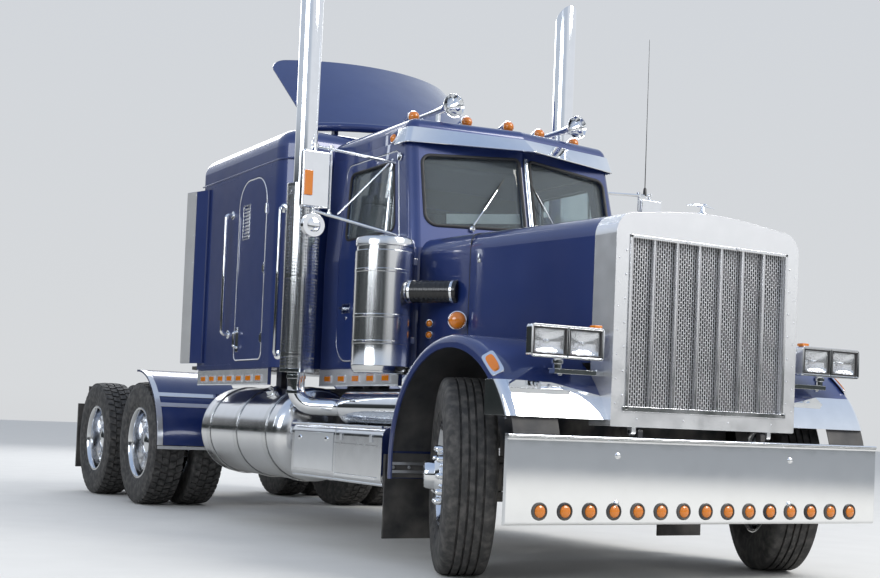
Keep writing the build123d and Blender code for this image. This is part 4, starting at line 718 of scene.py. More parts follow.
POD_X, POD_Z, FLUTES, STALK_Y = (665, 1095), (1120, 1280), 36, -560
pod_mid, lamp_z = sum(POD_X) / 2, sum(POD_Z) / 2
bezel, frames, reflector, lens, pod_lamps, stalk = forms(6)
for x0, x1 in ((POD_X[0] + 12, pod_mid - 6), (pod_mid + 6, POD_X[1] - 12)):
    for form, grow, wide, front in ((frames, 0, 10, -647), (bezel, 3, 4, -649)):
        for x, z in border((x0 - grow, x1 + grow), (POD_Z[0] + 12 - grow, POD_Z[1] - 12 + grow), wide, wide):
            form.box(x, (front, -630), z)
    cx, wide, high = (x0 + x1) / 2, (x1 - x0) / 2 - 8, (POD_Z[1] - POD_Z[0]) / 2 - 20
    rings = []
    for share, depth in ((1.0, -634), (0.97, -628), (0.72, -619), (0.4, -614), (0.12, -612)):
        ring = []
        for a in turns(24):
            square = max(abs(cos(a)), abs(sin(a)))
            reach = (1 / square) * share if share > 0.9 else (1 / square ** 0.4) * share
            ring.append(at(cx + wide * cos(a) * reach, depth, lamp_z + high * sin(a) * reach))
        rings.append(reflector.verts(ring))
    reflector.skin(rings)
    reflector.face(rings[-1])
    reflector.lathe([(0, 9), (6, 11), (12, 9), (15, 0)], (cx, -613, lamp_z), AHEAD, 16)
    outline = [(x0 + 8, -634)]
    for k in range(FLUTES + 1):
        u = k / FLUTES
        outline.append((x0 + 8 + (x1 - x0 - 16) * u, -640 - 4 * sin(pi * u) - (1.1 if k % 2 else 0)))
    outline.append((x1 - 8, -634))
    lens.prism([(x, y, POD_Z[0] + 20) for x, y in outline], (0, 0, (POD_Z[1] - POD_Z[0] - 40) * MM))
piece("headlamp_bezels", bezel, CHROME, "hood", bevel=1.5, both=True)
piece("headlamp_frames", frames, BLACK, "hood", bevel=1.5, both=True)
piece("headlamp_reflectors", reflector, MIRROR, "hood", smooth=60, both=True)
piece("headlamp_glass", lens, CLEAR, "hood", replaces="headlamp_lenses", smooth=20, both=True)
pod_lamps.box((672, 720), (-640, -596), (1280, 1296))
piece("pod_top_lamps", pod_lamps, AMBER, "hood", bevel=4, both=True)
for z0, z1, radius in ((1118, 1098, 0.030), (1104, 1074, 0.022)):
    stalk.tube([(pod_mid, STALK_Y, z0), (pod_mid, STALK_Y, z1)], radius, 24)
stalk.bolt((640, STALK_Y, 1074), UP, 10, 7)
stalk.bolt((pod_mid - 15, STALK_Y, 1050), (0, 0, -1), 12, 8)
piece("headlamp_stalks", stalk, CHROME, "hood", both=True)

# Fenders: side lamps that face outward on the arch, arch liners and brace
ARCH, FENDER_X, LINER_RADIUS = (-20, 600), 1166, 629
angle = radians(-40)
radial, tangent = Vector((0, sin(angle), cos(angle))), Vector((0, cos(angle), -sin(angle)))
outward = (radial * 0.72 + Vector(OUT) * 0.69).normalized()
sideways = outward.cross(tangent).normalized()
for name, finish, long, wide, tall, square in (("fender_lamps", AMBER, 0.052, 0.023, 0.020, 0.6),
                                               ("fender_lamp_bezels", CHROME, 0.078, 0.036, 0.010, 0.35)):
    form, corners = Form(), []
    for t in turns(32):
        u, w = (copysign(abs(share) ** square, share) for share in (cos(t), sin(t)))
        middle = at(FENDER_X, *ARCH) + radial * 0.634 - outward * 0.004
        corners.append(middle + tangent * u * long + sideways * w * wide)
    form.prism(corners, outward * tall)
    piece(name, form, finish, "hood", bevel=2, both=True)


def arc_sheet(form, centre, radius, x, angles, thick, steps=40):
    """Curved plate about an x line: radius and thickness in millimetres, angles from the top in degrees."""
    rims = [[(x[0], centre[0] + sin(a) * r, centre[1] + cos(a) * r)
             for a in [radians(d) for d in evenly(*angles, steps + 1)]] for r in (radius + thick, radius)]
    form.prism(rims[0] + rims[1][::-1], ((x[1] - x[0]) * MM, 0, 0))


liner, brace = forms(2)
arc_sheet(liner, ARCH, LINER_RADIUS, (640, 900), (-56, 88), 4)
arc_sheet(liner, ARCH, LINER_RADIUS, (900, FENDER_X), (-78, 88), 4)
liner.box((905, FENDER_X), (600, 606), (475, 610))
piece("arch_liners", liner, LINER, "hood", both=True)
for z in (500, 545):
    brace.box((905, 1172), (592, 602), (z, z + 16))
for x in (930, 1050, 1150):
    brace.bolt((x, 592, 532), AHEAD, 8, 5)
piece("fender_foot_clamps", brace, SATIN, "hood", bevel=2, both=True)

# Bumper, skirts and tail: lamps in their own colours, their rings and frames, bolts and tow bar
MARKERS, MARKER_X, MARKER_Z = 15, 1028, 387
TAIL_X, TAIL_Y, TAIL_Z = (-290, -160, 160, 290), 7050, 880
SKIRTS = ((1240, 2380, CAB_HALF, 5), (2670, 4080, SLEEPER_HALF, 7))
grommets, amber, bolts, tow, skirts, tails, tail_rings = forms(7)
for x in evenly(-MARKER_X, MARKER_X, MARKERS):
    place = (x, BUMPER_FACE, MARKER_Z)
    grommets.lathe([(0, 31.5), (5, 31.5), (9, 34), (9.5, 39), (6, 43), (0, 44)], place, AHEAD, 28,
                   closed=True)
    amber.lathe([(0, 0), (0, 31), (8, 30), (13, 25), (16, 15), (17.5, 0)], place, AHEAD, 24)
for x in (-575, 575):
    for z in (425, 660):
        bolts.lathe([(0, 17), (3, 16.5), (7, 12), (9, 6), (9.5, 0)], (x, BUMPER_FACE, z), AHEAD, 20)
tow.box((-300, 130), (-640, -600), (330, 372))
for x in ((-225, -165), (35, 75)):
    tow.box(x, (-638, -605), (372, 600))
for y0, y1, x1, count in SKIRTS:
    skirts.box((x1 - 5, x1 - 1), (y0, y1), (1002, 1112))
    skirts.tube([(x1 - 3, y0, 1003), (x1 - 3, y1, 1003)], 0.004, 8)
    for y in evenly(y0 + 150, y1 - 150, count):
        for s in (-1, 1):
            amber.box((s * (x1 - 4), s * (x1 + 12)), (y - 44, y + 44), (1031, 1065))
        for z in ((1023, 1031), (1065, 1073)):
            skirts.box((x1 - 2, x1 + 8), (y - 52, y + 52), z)
        for u in (-52, 44):
            skirts.box((x1 - 2, x1 + 8), (y + u, y + u + 8), (1031, 1065))
for place in [(x, TAIL_Y, TAIL_Z) for x in TAIL_X]:
    tails.lathe([(0, 0), (0, 51), (14, 50), (20, 44), (23, 30), (24.5, 0)], place, BACK, 36)
    tail_rings.lathe([(0, 52), (6, 53), (10, 57), (8, 63), (0, 65)], place, BACK, 36, closed=True)
piece("bumper_grommets", grommets, RUBBER)
piece("amber_lamps", amber, AMBER, replaces="marker_lamps", bevel=3)
piece("bumper_bolts", bolts, CHROME)
piece("front_lower_bracket", tow, CHASSIS, bevel=3)
piece("skirt_trim", skirts, BRIGHT, bevel=1, both=True)
piece("tail_lamps", tails, RED)
piece("tail_lamp_rings", tail_rings, RUBBER)


# Windshield: seals, centre bar, wipers and the blank card
def lean(z):
    """Share of the way from the belt to the eaves."""
    return max(0, (z - BELT) / (EAVES - BELT))


def side_x(z):
    """Half width of the cab at a height."""
    return CAB_HALF + (CAB_HALF_TOP - CAB_HALF) * lean(z)


def cab_front(x, z, out=0):
    """Point on the cab's two-pane front, a little outside it."""
    pillar = PILLAR_Y + (PILLAR_Y_TOP - PILLAR_Y) * lean(z)
    return at(x, pillar - VEE * (1 - abs(x) / side_x(z)) - out, z)


def cab_side(y, z, side, out=0):
    """Point on the cab's side, a little outside it."""
    return at(side * (side_x(z) + out), y, z)


def smooth_outline(rows, steps):
    """Corner rows of across, up and radius turned to points."""
    points = []
    for i, (u, v, r) in enumerate(rows):
        p = Vector((u, v))
        a, b = Vector(rows[i - 1][:2]), Vector(rows[(i + 1) % len(rows)][:2])
        da, db = (a - p).normalized(), (b - p).normalized()
        half = acos(max(-1, min(1, da.dot(db)))) / 2
        reach = min(r / tan(half), (a - p).length * 0.48, (b - p).length * 0.48)
        centre = p + (da + db).normalized() * (reach * tan(half) / sin(half))
        start, end = p + da * reach - centre, p + db * reach - centre
        turn = start.angle_signed(end)
        for k in range(steps + 1):
            points.append(centre + Matrix.Rotation(-turn * k / steps, 2) @ start)
    return points


PANE = [(38, 2005, 30), (700, 1985, 70), (688, 2430, 60), (38, 2470, 30)]
seals, centre_bar, wipers, blades, card = forms(5)
seals.tube([cab_front(p.x, p.y, 1) for p in smooth_outline(PANE, 6)], 0.0105, 8, closed=True)
piece("windshield_seals", seals, RUBBER, both=True)
centre_bar.tube([cab_front(0, z, 10) for z in (1996, 2010, 2240, 2466, 2474)], 0.017, 16)
for z in (2030, 2440):
    centre_bar.bolt(cab_front(0, z, 26), AHEAD, 7, 4)
piece("windshield_centre_bar", centre_bar, CHROME)
for x0, z0, x1, z1 in ((-400, 2006, -215, 2250), (205, 2012, 60, 2264)):
    wipers.lathe([(0, 20), (14, 20), (20, 14), (22, 0)], cab_front(x0, z0 - 24), AHEAD, 20)
    arm = (x0, z0 - 24, 16), (x0, z0, 30), ((x0 + x1) / 2, (z0 + z1) / 2, 30), (x1, z1, 20)
    wipers.tube([cab_front(*place) for place in arm], [0.007, 0.006, 0.0045, 0.0035], 8)
    dx, dz = (x1 - x0) / 2.2, (z1 - z0) / 2.2
    blade = (x1 - dx, z1 - dz, 9), (x1, z1, 12), (x1 + dx * 0.7, z1 + dz * 0.7, 9)
    blades.tube([cab_front(*place) for place in blade], [0.003, 0.0055, 0.003], 8)
piece("wiper_arms", wipers, CHROME)
piece("wiper_blades", blades, BLACK)
corners = (-540, 2010), (-40, 2054), (-40, 2118), (-536, 2072)
card.prism([cab_front(x, z, -42) for x, z in corners], (0, 0.002, 0))
piece("blank_card", card, CARD)

# Inside the cab: dashboard, gauges, steering wheel, cloth seats, mat and rear trim
dash, dials, faces, grip, spokes = forms(5)
shelf = (-738, 1352), (-738, 1192), (0, 1080), (738, 1192), (738, 1352)
dash.prism([(x, y, 1602) for x, y in shelf], (0, 0, 0.244))
dash.prism([(-740, y, z) for y, z in ((1340, 1482), (1340, 1846), (1352, 1849), (1430, 1808), (1478, 1776),
                                      (1478, 1500), (1462, 1482))], (1.48, 0, 0))
dash.prism([(250, y, z) for y, z in ((1350, 1840), (1440, 1838), (1472, 1812), (1472, 1776), (1350, 1776))],
           (0.4, 0, 0))
dash.lathe([(-70, 0), (-70, 40), (0, 34), (190, 30), (226, 30), (228, 0)], (450, 1492, 1624),
           (0, 0.643, 0.766), 24)
piece("dashboard", dash, BLACK, replaces="cab_interior", bevel=8)
GAUGES = ((345, 1718, 46), (455, 1718, 46), (555, 1740, 26), (555, 1672, 26), (265, 1740, 26),
          (265, 1672, 26), (-40, 1716, 24), (30, 1716, 24), (100, 1716, 24))
for x, z, r in GAUGES:
    dials.lathe([(0, r), (7, r), (8, r + 6), (0, r + 7)], (x, 1477, z), BACK, 28, closed=True)
    faces.lathe([(0, 0), (0, r), (3, r), (3, 0)], (x, 1477, z), BACK, 28)
for x in (-600, -330, 170, 640):
    for z in range(1724, 1764, 13):
        dials.box((x - 50, x + 50), (1477, 1483), (z, z + 5))
dials.box((-700, -420), (1477, 1481), (1560, 1566))
piece("dash_dials", dials, CHROME, bevel=0.8)
piece("dial_faces", faces, CARD)
turn, wheel_hub = Matrix.Rotation(radians(-40), 3, "X"), at(450, 1640, 1800)
ring = [wheel_hub + turn @ Vector((cos(a) * 0.225, sin(a) * 0.225, 0)) for a in turns(56)]
grip.tube(ring, [0.0132 + (0.0014 if k % 2 else 0) for k in range(56)], 14, closed=True)
grip.lathe([(-16, 0), (-16, 40), (4, 46), (14, 40), (18, 24), (18, 0)], wheel_hub, turn @ Vector(UP), 32)
piece("steering_wheel_grip", grip, BLACK)
for a in (0, 120, 240):
    way = turn @ Matrix.Rotation(radians(a), 3, "Z")
    for s in (-1, 1):
        bar = (0.04, 0.006 * s, 0), (0.12, 0.010 * s, -0.006), (0.218, 0.016 * s, 0)
        spokes.tube([wheel_hub + way @ Vector(p) for p in bar], 0.0055, 10)
piece("steering_wheel_spokes", spokes, CHROME)
pads, piping, frames, lining = forms(4)
SEAT_X = 452.5
for x in (-SEAT_X, SEAT_X):
    pads.pillow((x, 1832, 1552), (168, 246, 66))
    pads.pillow((x, 2150, 1842), (160, 52, 232), 13)
    pads.pillow((x, 2232, 2170), (150, 40, 88), 13)
    for s in (-1, 1):
        pads.pillow((x + s * 198, 1836, 1562), (39, 240, 62))
        pads.pillow((x + s * 194, 2132, 1850), (42, 62, 236), 13)
    for dy in (-110, 0, 110):
        piping.tube([(x + u, 1832 + dy, 1617 - (u / 165) ** 4 * 16) for u in range(-150, 151, 30)], 0.003, 6)
    for dz in (-120, 0, 120):
        seam = [(x + u, 2098 + dz * 0.225 + (u / 165) ** 4 * 14, 1842 + dz) for u in range(-140, 141, 28)]
        piping.tube(seam, 0.003, 6)
    frames.box((x - 110, x + 110), (1692, 1988), (1162, 1300))
    bellows = [0.09, 0.105, 0.09, 0.105, 0.09, 0.105, 0.1]
    frames.tube([(x, 1840, z) for z in range(1300, 1481, 30)], bellows, 32)
    frames.box((x - 190, x + 190), (1640, 2060), (1478, 1498))
piece("seat_pads", pads, SEAT_CLOTH, smooth=70)
piece("seat_piping", piping, BLACK)
piece("seat_pedestals", frames, BLACK, bevel=6)
lining.box((-742, 742), (1500, 2345), (1160.5, 1172))
for x in ((-742, -356), (356, 742)):
    lining.box(x, (2338, 2350), (1172, 2440))
lining.box((-742, 742), (2338, 2350), (2306, 2440))
piece("cab_lining", lining, LINER, bevel=4)

# Cab roof: bullet lamps and air horns
bullets, lenses, horns = forms(3)
for x, y in ((-620, 1626), (-280, 1538), (0, 1480), (280, 1538), (620, 1626)):
    place = (x, y, ROOF + 50)
    bullets.lathe([(0, 0), (2, 9), (20, 17), (70, 27), (100, 37), (112, 40), (118, 40), (119, 36), (112, 34),
                   (112, 0)], place, AHEAD, 32)
    bullets.box((x - 10, x + 10), (y - 86, y - 42), (ROOF, ROOF + 30))
    bullets.box((x - 20, x + 20), (y - 98, y - 30), (ROOF - 2, ROOF + 4))
    lenses.lathe([(112, 0), (112, 36), (124, 36), (140, 31), (152, 21), (158, 9), (159, 0)], place, AHEAD, 32)
piece("roof_lamp_bodies", bullets, CHROME, replaces="roof_marker_lamps")
piece("roof_lamp_lenses", lenses, AMBER)
for x in (-472, 472):
    horns.lathe([(-1, 0), (-1, 20), (6, 26), (84, 26), (92, 20), (100, 14), (300, 15.5), (420, 19),
                 (500, 26), (560, 38), (600, 58), (616, 71), (622, 76), (626, 76), (625, 72), (608, 60),
                 (570, 38), (520, 24), (500, 0)],
                (x, 1880, ROOF + 98), AHEAD, 40)
    for y in (1814, 1454):
        horns.box((x - 9, x + 9), (y - 16, y + 16), (ROOF - 2, ROOF + 84))
        horns.box((x - 24, x + 24), (y - 26, y + 26), (ROOF - 2, ROOF + 6))
        horns.bolt((x, y - 20, ROOF + 6), UP, 6, 5)
piece("roof_air_horns", horns, CHROME, replaces="air_horns")

# Cab doors: beads, window seals, vent bars, handles and hinges
WINDOW = [(1370, 1965, 45), (2070, 1965, 45), (2070, 2410, 50), (1465, 2410, 50)]
DOOR = [(1300, 1165, 40), (2135, 1165, 150), (2135, 2470, 60), (1420, 2470, 40), (1300, 1880, 300)]
BRACE_TURNS = 120
for name, side in SIDES:
    body = f"cab_door_{name}"
    bead, trim, bars, handle, hinge = forms(5)
    bead.tube([cab_side(p.x, p.y, side, -3) for p in smooth_outline(DOOR, 8)], 0.005, 8, closed=True)
    piece(f"door_bead_{name}", bead, BRIGHT, body)
    trim.tube([cab_side(p.x, p.y, side, -2) for p in smooth_outline(WINDOW, 6)], 0.009, 8, closed=True)
    piece(f"door_seals_{name}", trim, RUBBER, body)
    bars.tube([cab_side(1500, z, side, -6) for z in (1960, 2100, 2250, 2414)], 0.009, 10)
    piece(f"vent_bar_{name}", bars, CHROME, body)
    y, z = 2020, 1510
    handle.box((side * 798, side * 808), (y - 80, y + 34), (z - 30, z + 30))
    pull = ((805, 20, 0), (840, 12, 0), (840, -70, -4), (807, -76, -4))
    handle.tube(rounded([(side * x, y + dy, z + dz) for x, dy, dz in pull], 0.014), 0.0085, 10)
    handle.lathe([(0, 13), (5, 13), (6, 11), (6, 0)], (side * 799, y - 20, z - 62), (side, 0, 0), 20)
    piece(f"door_handle_{name}", handle, CHROME, body, bevel=2)
    for z in (1290, 1520, 1760):
        hinge.tube([(side * 802, 1297, z - 34), (side * 802, 1297, z + 34)], 0.0085, 14)
        hinge.box((side * 798, side * 804), (1301, 1347), (z - 24, z + 24))
        for y in (1317, 1335):
            hinge.rivet((side * 804, y, z), (side, 0, 0), 5)
    piece(f"door_hinges_{name}", hinge, BLUE, body, bevel=1)

    # Mirror: bright head, glass, lamp, tube, braces and round glass below
    head, glass, fit, mirror_lamp = forms(4)
    x = side * MIRROR_X
    head.box((x - 88, x + 88), (MIRROR_Y - 28, MIRROR_Y + 24), (2062, 2408))
    piece(f"mirror_head_{name}", head, CHROME, body, bevel=9)
    glass.box((x - 78, x + 78), (MIRROR_Y + 24.5, MIRROR_Y + 26.5), (2074, 2396))
    glass.lathe([(0, 66), (2, 66), (5, 50), (7, 26), (7.6, 0)], (x, MIRROR_Y + 20, BALL_Z), BACK, 40)
    piece(f"mirror_glass_{name}", glass, MIRROR, body, bevel=0.5)
    fit.lathe([(0, 71), (6, 72), (20, 68), (32, 54), (40, 32), (43, 0)], (x, MIRROR_Y + 16, BALL_Z), AHEAD,
              40)
    for z in (2022, 2442):
        fit.tube([(x, MIRROR_Y, z - 12), (x, MIRROR_Y, z + 12)], 0.017, 18)
    arm = side * ARM_X
    fit.tube([(arm, MIRROR_Y - 8, 2448), (arm, MIRROR_Y - 8, 2022)], 0.0085, 12)
    for z in (2030, 2440):
        fit.lathe([(-14, 0), (-14, 15), (14, 15), (14, 0)], (arm, MIRROR_Y - 8, z), UP, 18)
    fit.lathe([(0, 0), (0, 26), (6, 24), (8, 0)], (side * 773, 1380, 2425), (side, 0, 0), 20)
    ends = at(side * 1130, MIRROR_Y - 8, 2036), at(side * 779, 1452, 2421)
    line = [ends[0].lerp(ends[1], share) for share in evenly(0, 1, BRACE_TURNS + 1)]
    fit.tube(line, [0.0072 if k % 3 else 0.0050 for k in range(BRACE_TURNS + 1)], 10)
    piece(f"mirror_fittings_{name}", fit, CHROME, body)
    mirror_lamp.box((side * 1316, side * 1370), (MIRROR_Y - 40, MIRROR_Y - 27), (2130, 2282))
    piece(f"mirror_lamp_{name}", mirror_lamp, AMBER, body, bevel=4)

# Air cleaners: banded canisters, ribbed hose, bright inlet and clamps
cleaners, hose, inlet = forms(3)
full = CLEANER_RADIUS
rows = [(1060, 0), (1060, 152), (1063, 158), (1072, 160), (1074, 166), (1100, full + 1),
        (1108, full + 1), (1110, full)]
for z in (1230, 1384, 1650):
    rows += [(z, full), (z + 2, full + 2), (z + 18, full + 2), (z + 20, full)]
    cleaners.box((1150, 1172), (CLEANER_Y - 92, CLEANER_Y - 70), (z + 4, z + 16))
rows += [(1776, full), (1780, 167), (1804, 167), (1808, full), (1846, full), (1856, 168), (1864, 140),
         (1870, 110), (1870, 0)]
cleaners.lathe(rows, (CLEANER_X, CLEANER_Y, 0), UP, 72)
for z in (1250, 1720):
    cleaners.box((790, 850), (CLEANER_Y - 24, CLEANER_Y + 24), (z + 1, z + 39))
piece("air_cleaner_canisters", cleaners, STAINLESS, replaces="air_cleaners", both=True)
HOSE_STEPS = 44
ends = at(CLEANER_X - 96, CLEANER_Y - 108, HOSE_Z), at(698, 722, HOSE_Z)
line = [ends[0].lerp(ends[1], share) for share in evenly(0, 1, HOSE_STEPS + 1)]
hose.tube(line, [0.0650 + (0.0022 if (k // 2) % 2 else 0) for k in range(HOSE_STEPS + 1)], 40)
piece("intake_hoses", hose, HOSE, both=True)
for k in (4, 39):
    inlet.tube([line[k], line[k + 2]], 0.0700, 32)
inside = at(CLEANER_X, CLEANER_Y, HOSE_Z)
inlet.tube([ends[0].lerp(inside, 0.5), ends[0].lerp(inside, 0.1), ends[0], line[2], line[3]],
           [0.066, 0.074, 0.077, 0.077, 0.071], 40)
piece("intake_clamps", inlet, CHROME, both=True)

# Exhaust: mufflers, elbows and stacks with slanted mouths
STACK, MITRE_Z, MUFFLER_X, MUFFLER_Z = (STACK_X, STACK_Y), 3840, 790, 860
pipes, shields, collars = forms(3)
pipes.tube([(MUFFLER_X, y, MUFFLER_Z) for y in (980, 986, 1000, 1860, 1874, 1880)],
           [0.07, 0.098, 0.11, 0.11, 0.098, 0.06], 48)
run = [(MUFFLER_X, y, MUFFLER_Z) for y in (1870, 2030)] + [(*STACK, MUFFLER_Z), (*STACK, 1140)]
pipes.tube(rounded(run, 0.13, 10), 0.058, 40)
for z in (940, 1040):
    pipes.tube([(*STACK, z), (*STACK, z + 22)], 0.064, 36)
rings = []
for r, z in ((75, 1080), (75, 2400), (75, 3600), (75, None), (71, None), (71, 3500)):
    spots = [(cos(a) * r, sin(a) * r) for a in turns(48)]
    rings.append(pipes.verts([at(STACK_X + x, STACK_Y + y, z or MITRE_Z - y) for x, y in spots]))
pipes.skin(rings + [pipes.verts([at(*STACK, 3500)])])
pipes.face(rings[0][::-1])
for y in (1200, 1600):
    pipes.box((440, 700), (y - 12, y + 12), (838, 882))
piece("exhaust_pipes", pipes, CHROME, replaces="exhaust_stacks", both=True)

# Slotted shields: a wall of cells, each with a slot, solid where it faces the cab
COLUMNS, LEVELS, SLOT_X, SLOT_Z = 52, 56, 0.27, 0.30
grid = [shields.verts([at(STACK_X + cos(a) * SHIELD_RADIUS, STACK_Y + sin(a) * SHIELD_RADIUS, z)
                       for a in turns(COLUMNS)]) for z in evenly(1100, 2310, LEVELS + 1)]
for j in range(LEVELS):
    for i, angle in enumerate(turns(COLUMNS, 0.5)):
        m = (i + 1) % COLUMNS
        a, b, c, d = cell = grid[j][i], grid[j][m], grid[j + 1][m], grid[j + 1][i]
        if j in (0, LEVELS - 1) or 150 < degrees(angle) < 210:
            shields.face(cell)
            continue
        slot = []
        for u, w in ((-SLOT_X, -SLOT_Z), (SLOT_X, -SLOT_Z), (SLOT_X, SLOT_Z), (-SLOT_X, SLOT_Z)):
            slot.append(a.co.lerp(b.co, 0.5 + u).lerp(d.co.lerp(c.co, 0.5 + u), 0.5 + w))
        shields.skin([cell, shields.verts(slot)])
piece("slotted_shields", shields, STAINLESS, replaces="stack_shields", both=True)
RIM_COLLARS = [(z, z + 24, 111, 115.5, COLUMNS) for z in (1080, 2306)]
INNER_COLLARS = [(z, z + 25, 75.2, 113, 48) for z in (1180, 1700, 2230)]
for z0, z1, r0, r1, sides in RIM_COLLARS + INNER_COLLARS:
    collars.lathe([(z0, r0), (z0, r1), (z1, r1), (z1, r0)], (*STACK, 0), UP, sides, closed=True)
piece("shield_collars", collars, CHROME, both=True)

# Fuel tanks: domed ends, seams, straps, caps and brackets; air tanks between the rails
tanks, straps, caps, brackets = forms(4)
tank = (TANK_X, 0, TANK_Z)
tanks.lathe([(2360, 0), (2362, 120), (2372, 220), (2392, 284), (2420, 312), (2446, 320), (2452, 320),
             (2454, 321.5), (2462, 321.5), (2464, 320), (3836, 320), (3838, 321.5), (3846, 321.5),
             (3848, 320), (3880, 312), (3908, 284), (3928, 220), (3938, 120), (3940, 0)], tank, BACK, 96)
piece("fuel_tanks", tanks, POLISHED, replaces="tanks", both=True)
for y in (2610, 3150, 3690):
    for half, r in ((28, 328), (32, 324)):
        strap = [(y - half, 322), (y - half, r), (y + half, r), (y + half, 322)]
        straps.lathe(strap, tank, BACK, 96, closed=True)
    brackets.box((430, 452), (y - 30, y + 30), (450, 980))
    brackets.box((430, 500), (y - 30, y + 30), (930, 975))
piece("tank_straps", straps, STAINLESS, both=True)
tilt, handle = Vector((0.5, 0, 0.866)), Vector((0, 0.04, 0))
cap = at(TANK_X, 2840, TANK_Z) + tilt * 0.318
caps.lathe([(0, 58), (10, 58), (12, 50), (34, 50), (38, 46), (38, 0)], cap, tilt, 28)
caps.tube([cap + tilt * 0.04 - handle, cap + tilt * 0.05, cap + tilt * 0.04 + handle], 0.008, 10)
piece("fuel_caps", caps, CHROME, both=True)
brackets.mirrored()
for y in (4150, 4370):
    brackets.lathe([(-420, 0), (-414, 60), (-400, 88), (-390, 95), (390, 95), (400, 88), (414, 60), (420, 0)],
                   (0, y, 870), OUT, 48)
piece("tank_brackets", brackets, CHASSIS)

# Step boxes: tread plates, edges, latches
treads, edges = forms(2)
treads.box((650, 1120), (706, 1934), (749, 753))
treads.box((1100, 1176), (760, 1300), (640, 646))
piece("step_treads", treads, TREAD_PLATE, both=True)
edges.tube([(1168, 702, 748), (1168, 1938, 748)], 0.008, 10)
edges.tube([(1150, 702, 426), (1150, 1938, 426)], 0.010, 10)
edges.box((1166, 1172), (1296, 1304), (440, 735))
edges.box((1166, 1178), (760, 1290), (448, 466))
for y in (830, 1220):
    edges.box((1168, 1176), (y - 16, y + 16), (660, 700))
edges.box((1170, 1173), (1330, 1900), (470, 700))
for y in (1420, 1810):
    edges.lathe([(0, 18), (6, 18), (8, 12), (8, 0)], (1172, y, 660), OUT, 20)
piece("step_box_trim", edges, CHROME, bevel=1, both=True)

# Sleeper doors: beads, handles, hinges and vents
SLEEPER_DOOR = [(2810, 1180, 50), (3330, 1180, 50), (3330, 2480, 190), (2810, 2480, 190)]
for name, side in SIDES:
    body = f"sleeper_door_{name}"
    trim, fit, slats = forms(3)
    trim.tube([(side * 1058, p.x, p.y) for p in smooth_outline(SLEEPER_DOOR, 10)], 0.0055, 8, closed=True)
    piece(f"sleeper_door_bead_{name}", trim, BRIGHT, body)
    fit.box((side * 1058, side * 1066), (3240, 3292), (1240, 1420))
    pull = ((1064, 1270), (1092, 1282), (1092, 1378), (1064, 1390))
    fit.tube(rounded([(side * x, 3266, z) for x, z in pull], 0.012), 0.008, 10)
    fit.lathe([(0, 12), (4, 12), (5, 0)], (side * 1066, 3266, 1405), (side, 0, 0), 16)
    for z in (1330, 1820, 2240):
        fit.tube([(side * 1063, 2807, z - 36), (side * 1063, 2807, z + 36)], 0.008, 12)
        fit.box((side * 1058, side * 1062), (2810, 2850), (z - 24, z + 24))
    for y, z in border((3114, 3246), (2054, 2306), 6, 8):
        fit.box((side * 1056, side * 1064), y, z)
    piece(f"sleeper_door_fittings_{name}", fit, CHROME, body, bevel=1.5)
    for z in range(2072, 2273, 25):
        slat = ((1049, z), (1059, z + 4), (1059, z + 8), (1049, z + 20))
        slats.prism([(side * x, 3120, height) for x, height in slat], (0, 0.12, 0))
    piece(f"sleeper_vent_{name}", slats, BRIGHT, body)

# Cab and sleeper walls: grab bars by their foot, ends and way out; rivets and drip rails
GRAB_ROWS = ((1060, 3460, 1375, 2262, (1, 0, 0)), (1030, 2566, 1205, 2215, (0.80, -0.60, 0)))
grabs, rivets, rails = forms(3)
for x, y, z0, z1, way in GRAB_ROWS:
    low, high, out = at(x, y, z0), at(x, y, z1), Vector(way).normalized()
    grabs.tube(rounded([high, high + out * 0.052, low + out * 0.052, low], 0.04, 6), 0.013, 14)
    for end in (low, high):
        grabs.lathe([(0, 0), (0, 32), (5, 31), (8, 20), (8, 0)], end - out * 0.001, out, 24)
piece("grab_bars", grabs, CHROME, both=True)
for z in range(1180, 2541, 85):
    for y in (2750, 3400, 4080):
        rivets.rivet((SLEEPER_HALF, y, z), OUT, 5)
for y in (2690, 2750, *range(3400, 4090, 68)):
    for z in (1150, 2530):
        rivets.rivet((SLEEPER_HALF, y, z), OUT, 5)
for z in range(1180, 2400, 85):
    for y in (2190, 2350):
        rivets.rivet((side_x(z) - 1, y, z), OUT, 4)
rivets.mirrored()
for x in range(-960, 961, 96):
    for z in (1150, 1800, 2530):
        rivets.rivet((x, SLEEPER_REAR, z), BACK, 5)
piece("body_rivets", rivets, BLUE)
rails.tube(rounded([(1061, 4140, 2561), (1061, 2600, 2561), (990, 2490, 2561)], 0.12, 5), 0.006, 8)
piece("drip_rails", rails, BLUE, both=True)

# Quarter fenders: bright stripes and edge. Frame and rear: rail bolts and mud flap weights
stripes, fasten, flap_trim = forms(3)
QUARTER = (DRIVE_Y["forward"], TYRE_RADIUS)
for angles in ((-93, -90.6), (-59.5, -56), (-50, -46), (-1, 1.6)):
    arc_sheet(stripes, QUARTER, 611, (505, 1214), angles, 3, 4)
arc_sheet(stripes, QUARTER, 611, (1172, 1216), (-90, 1.6), 5)
piece("quarter_fender_stripes", stripes, BRIGHT, both=True)
for y in range(1000, 7000, 190):
    for z in (790, 940):
        fasten.bolt((430, y, z), OUT, 11, 8)
piece("rail_bolts", fasten, CHASSIS, both=True)
flap_trim.box((600, 1190), (7077, 7080), (238, 262))
flap_trim.box((600, 1190), (7076, 7080), (790, 826))
piece("mud_flap_trim", flap_trim, STAINLESS, both=True)

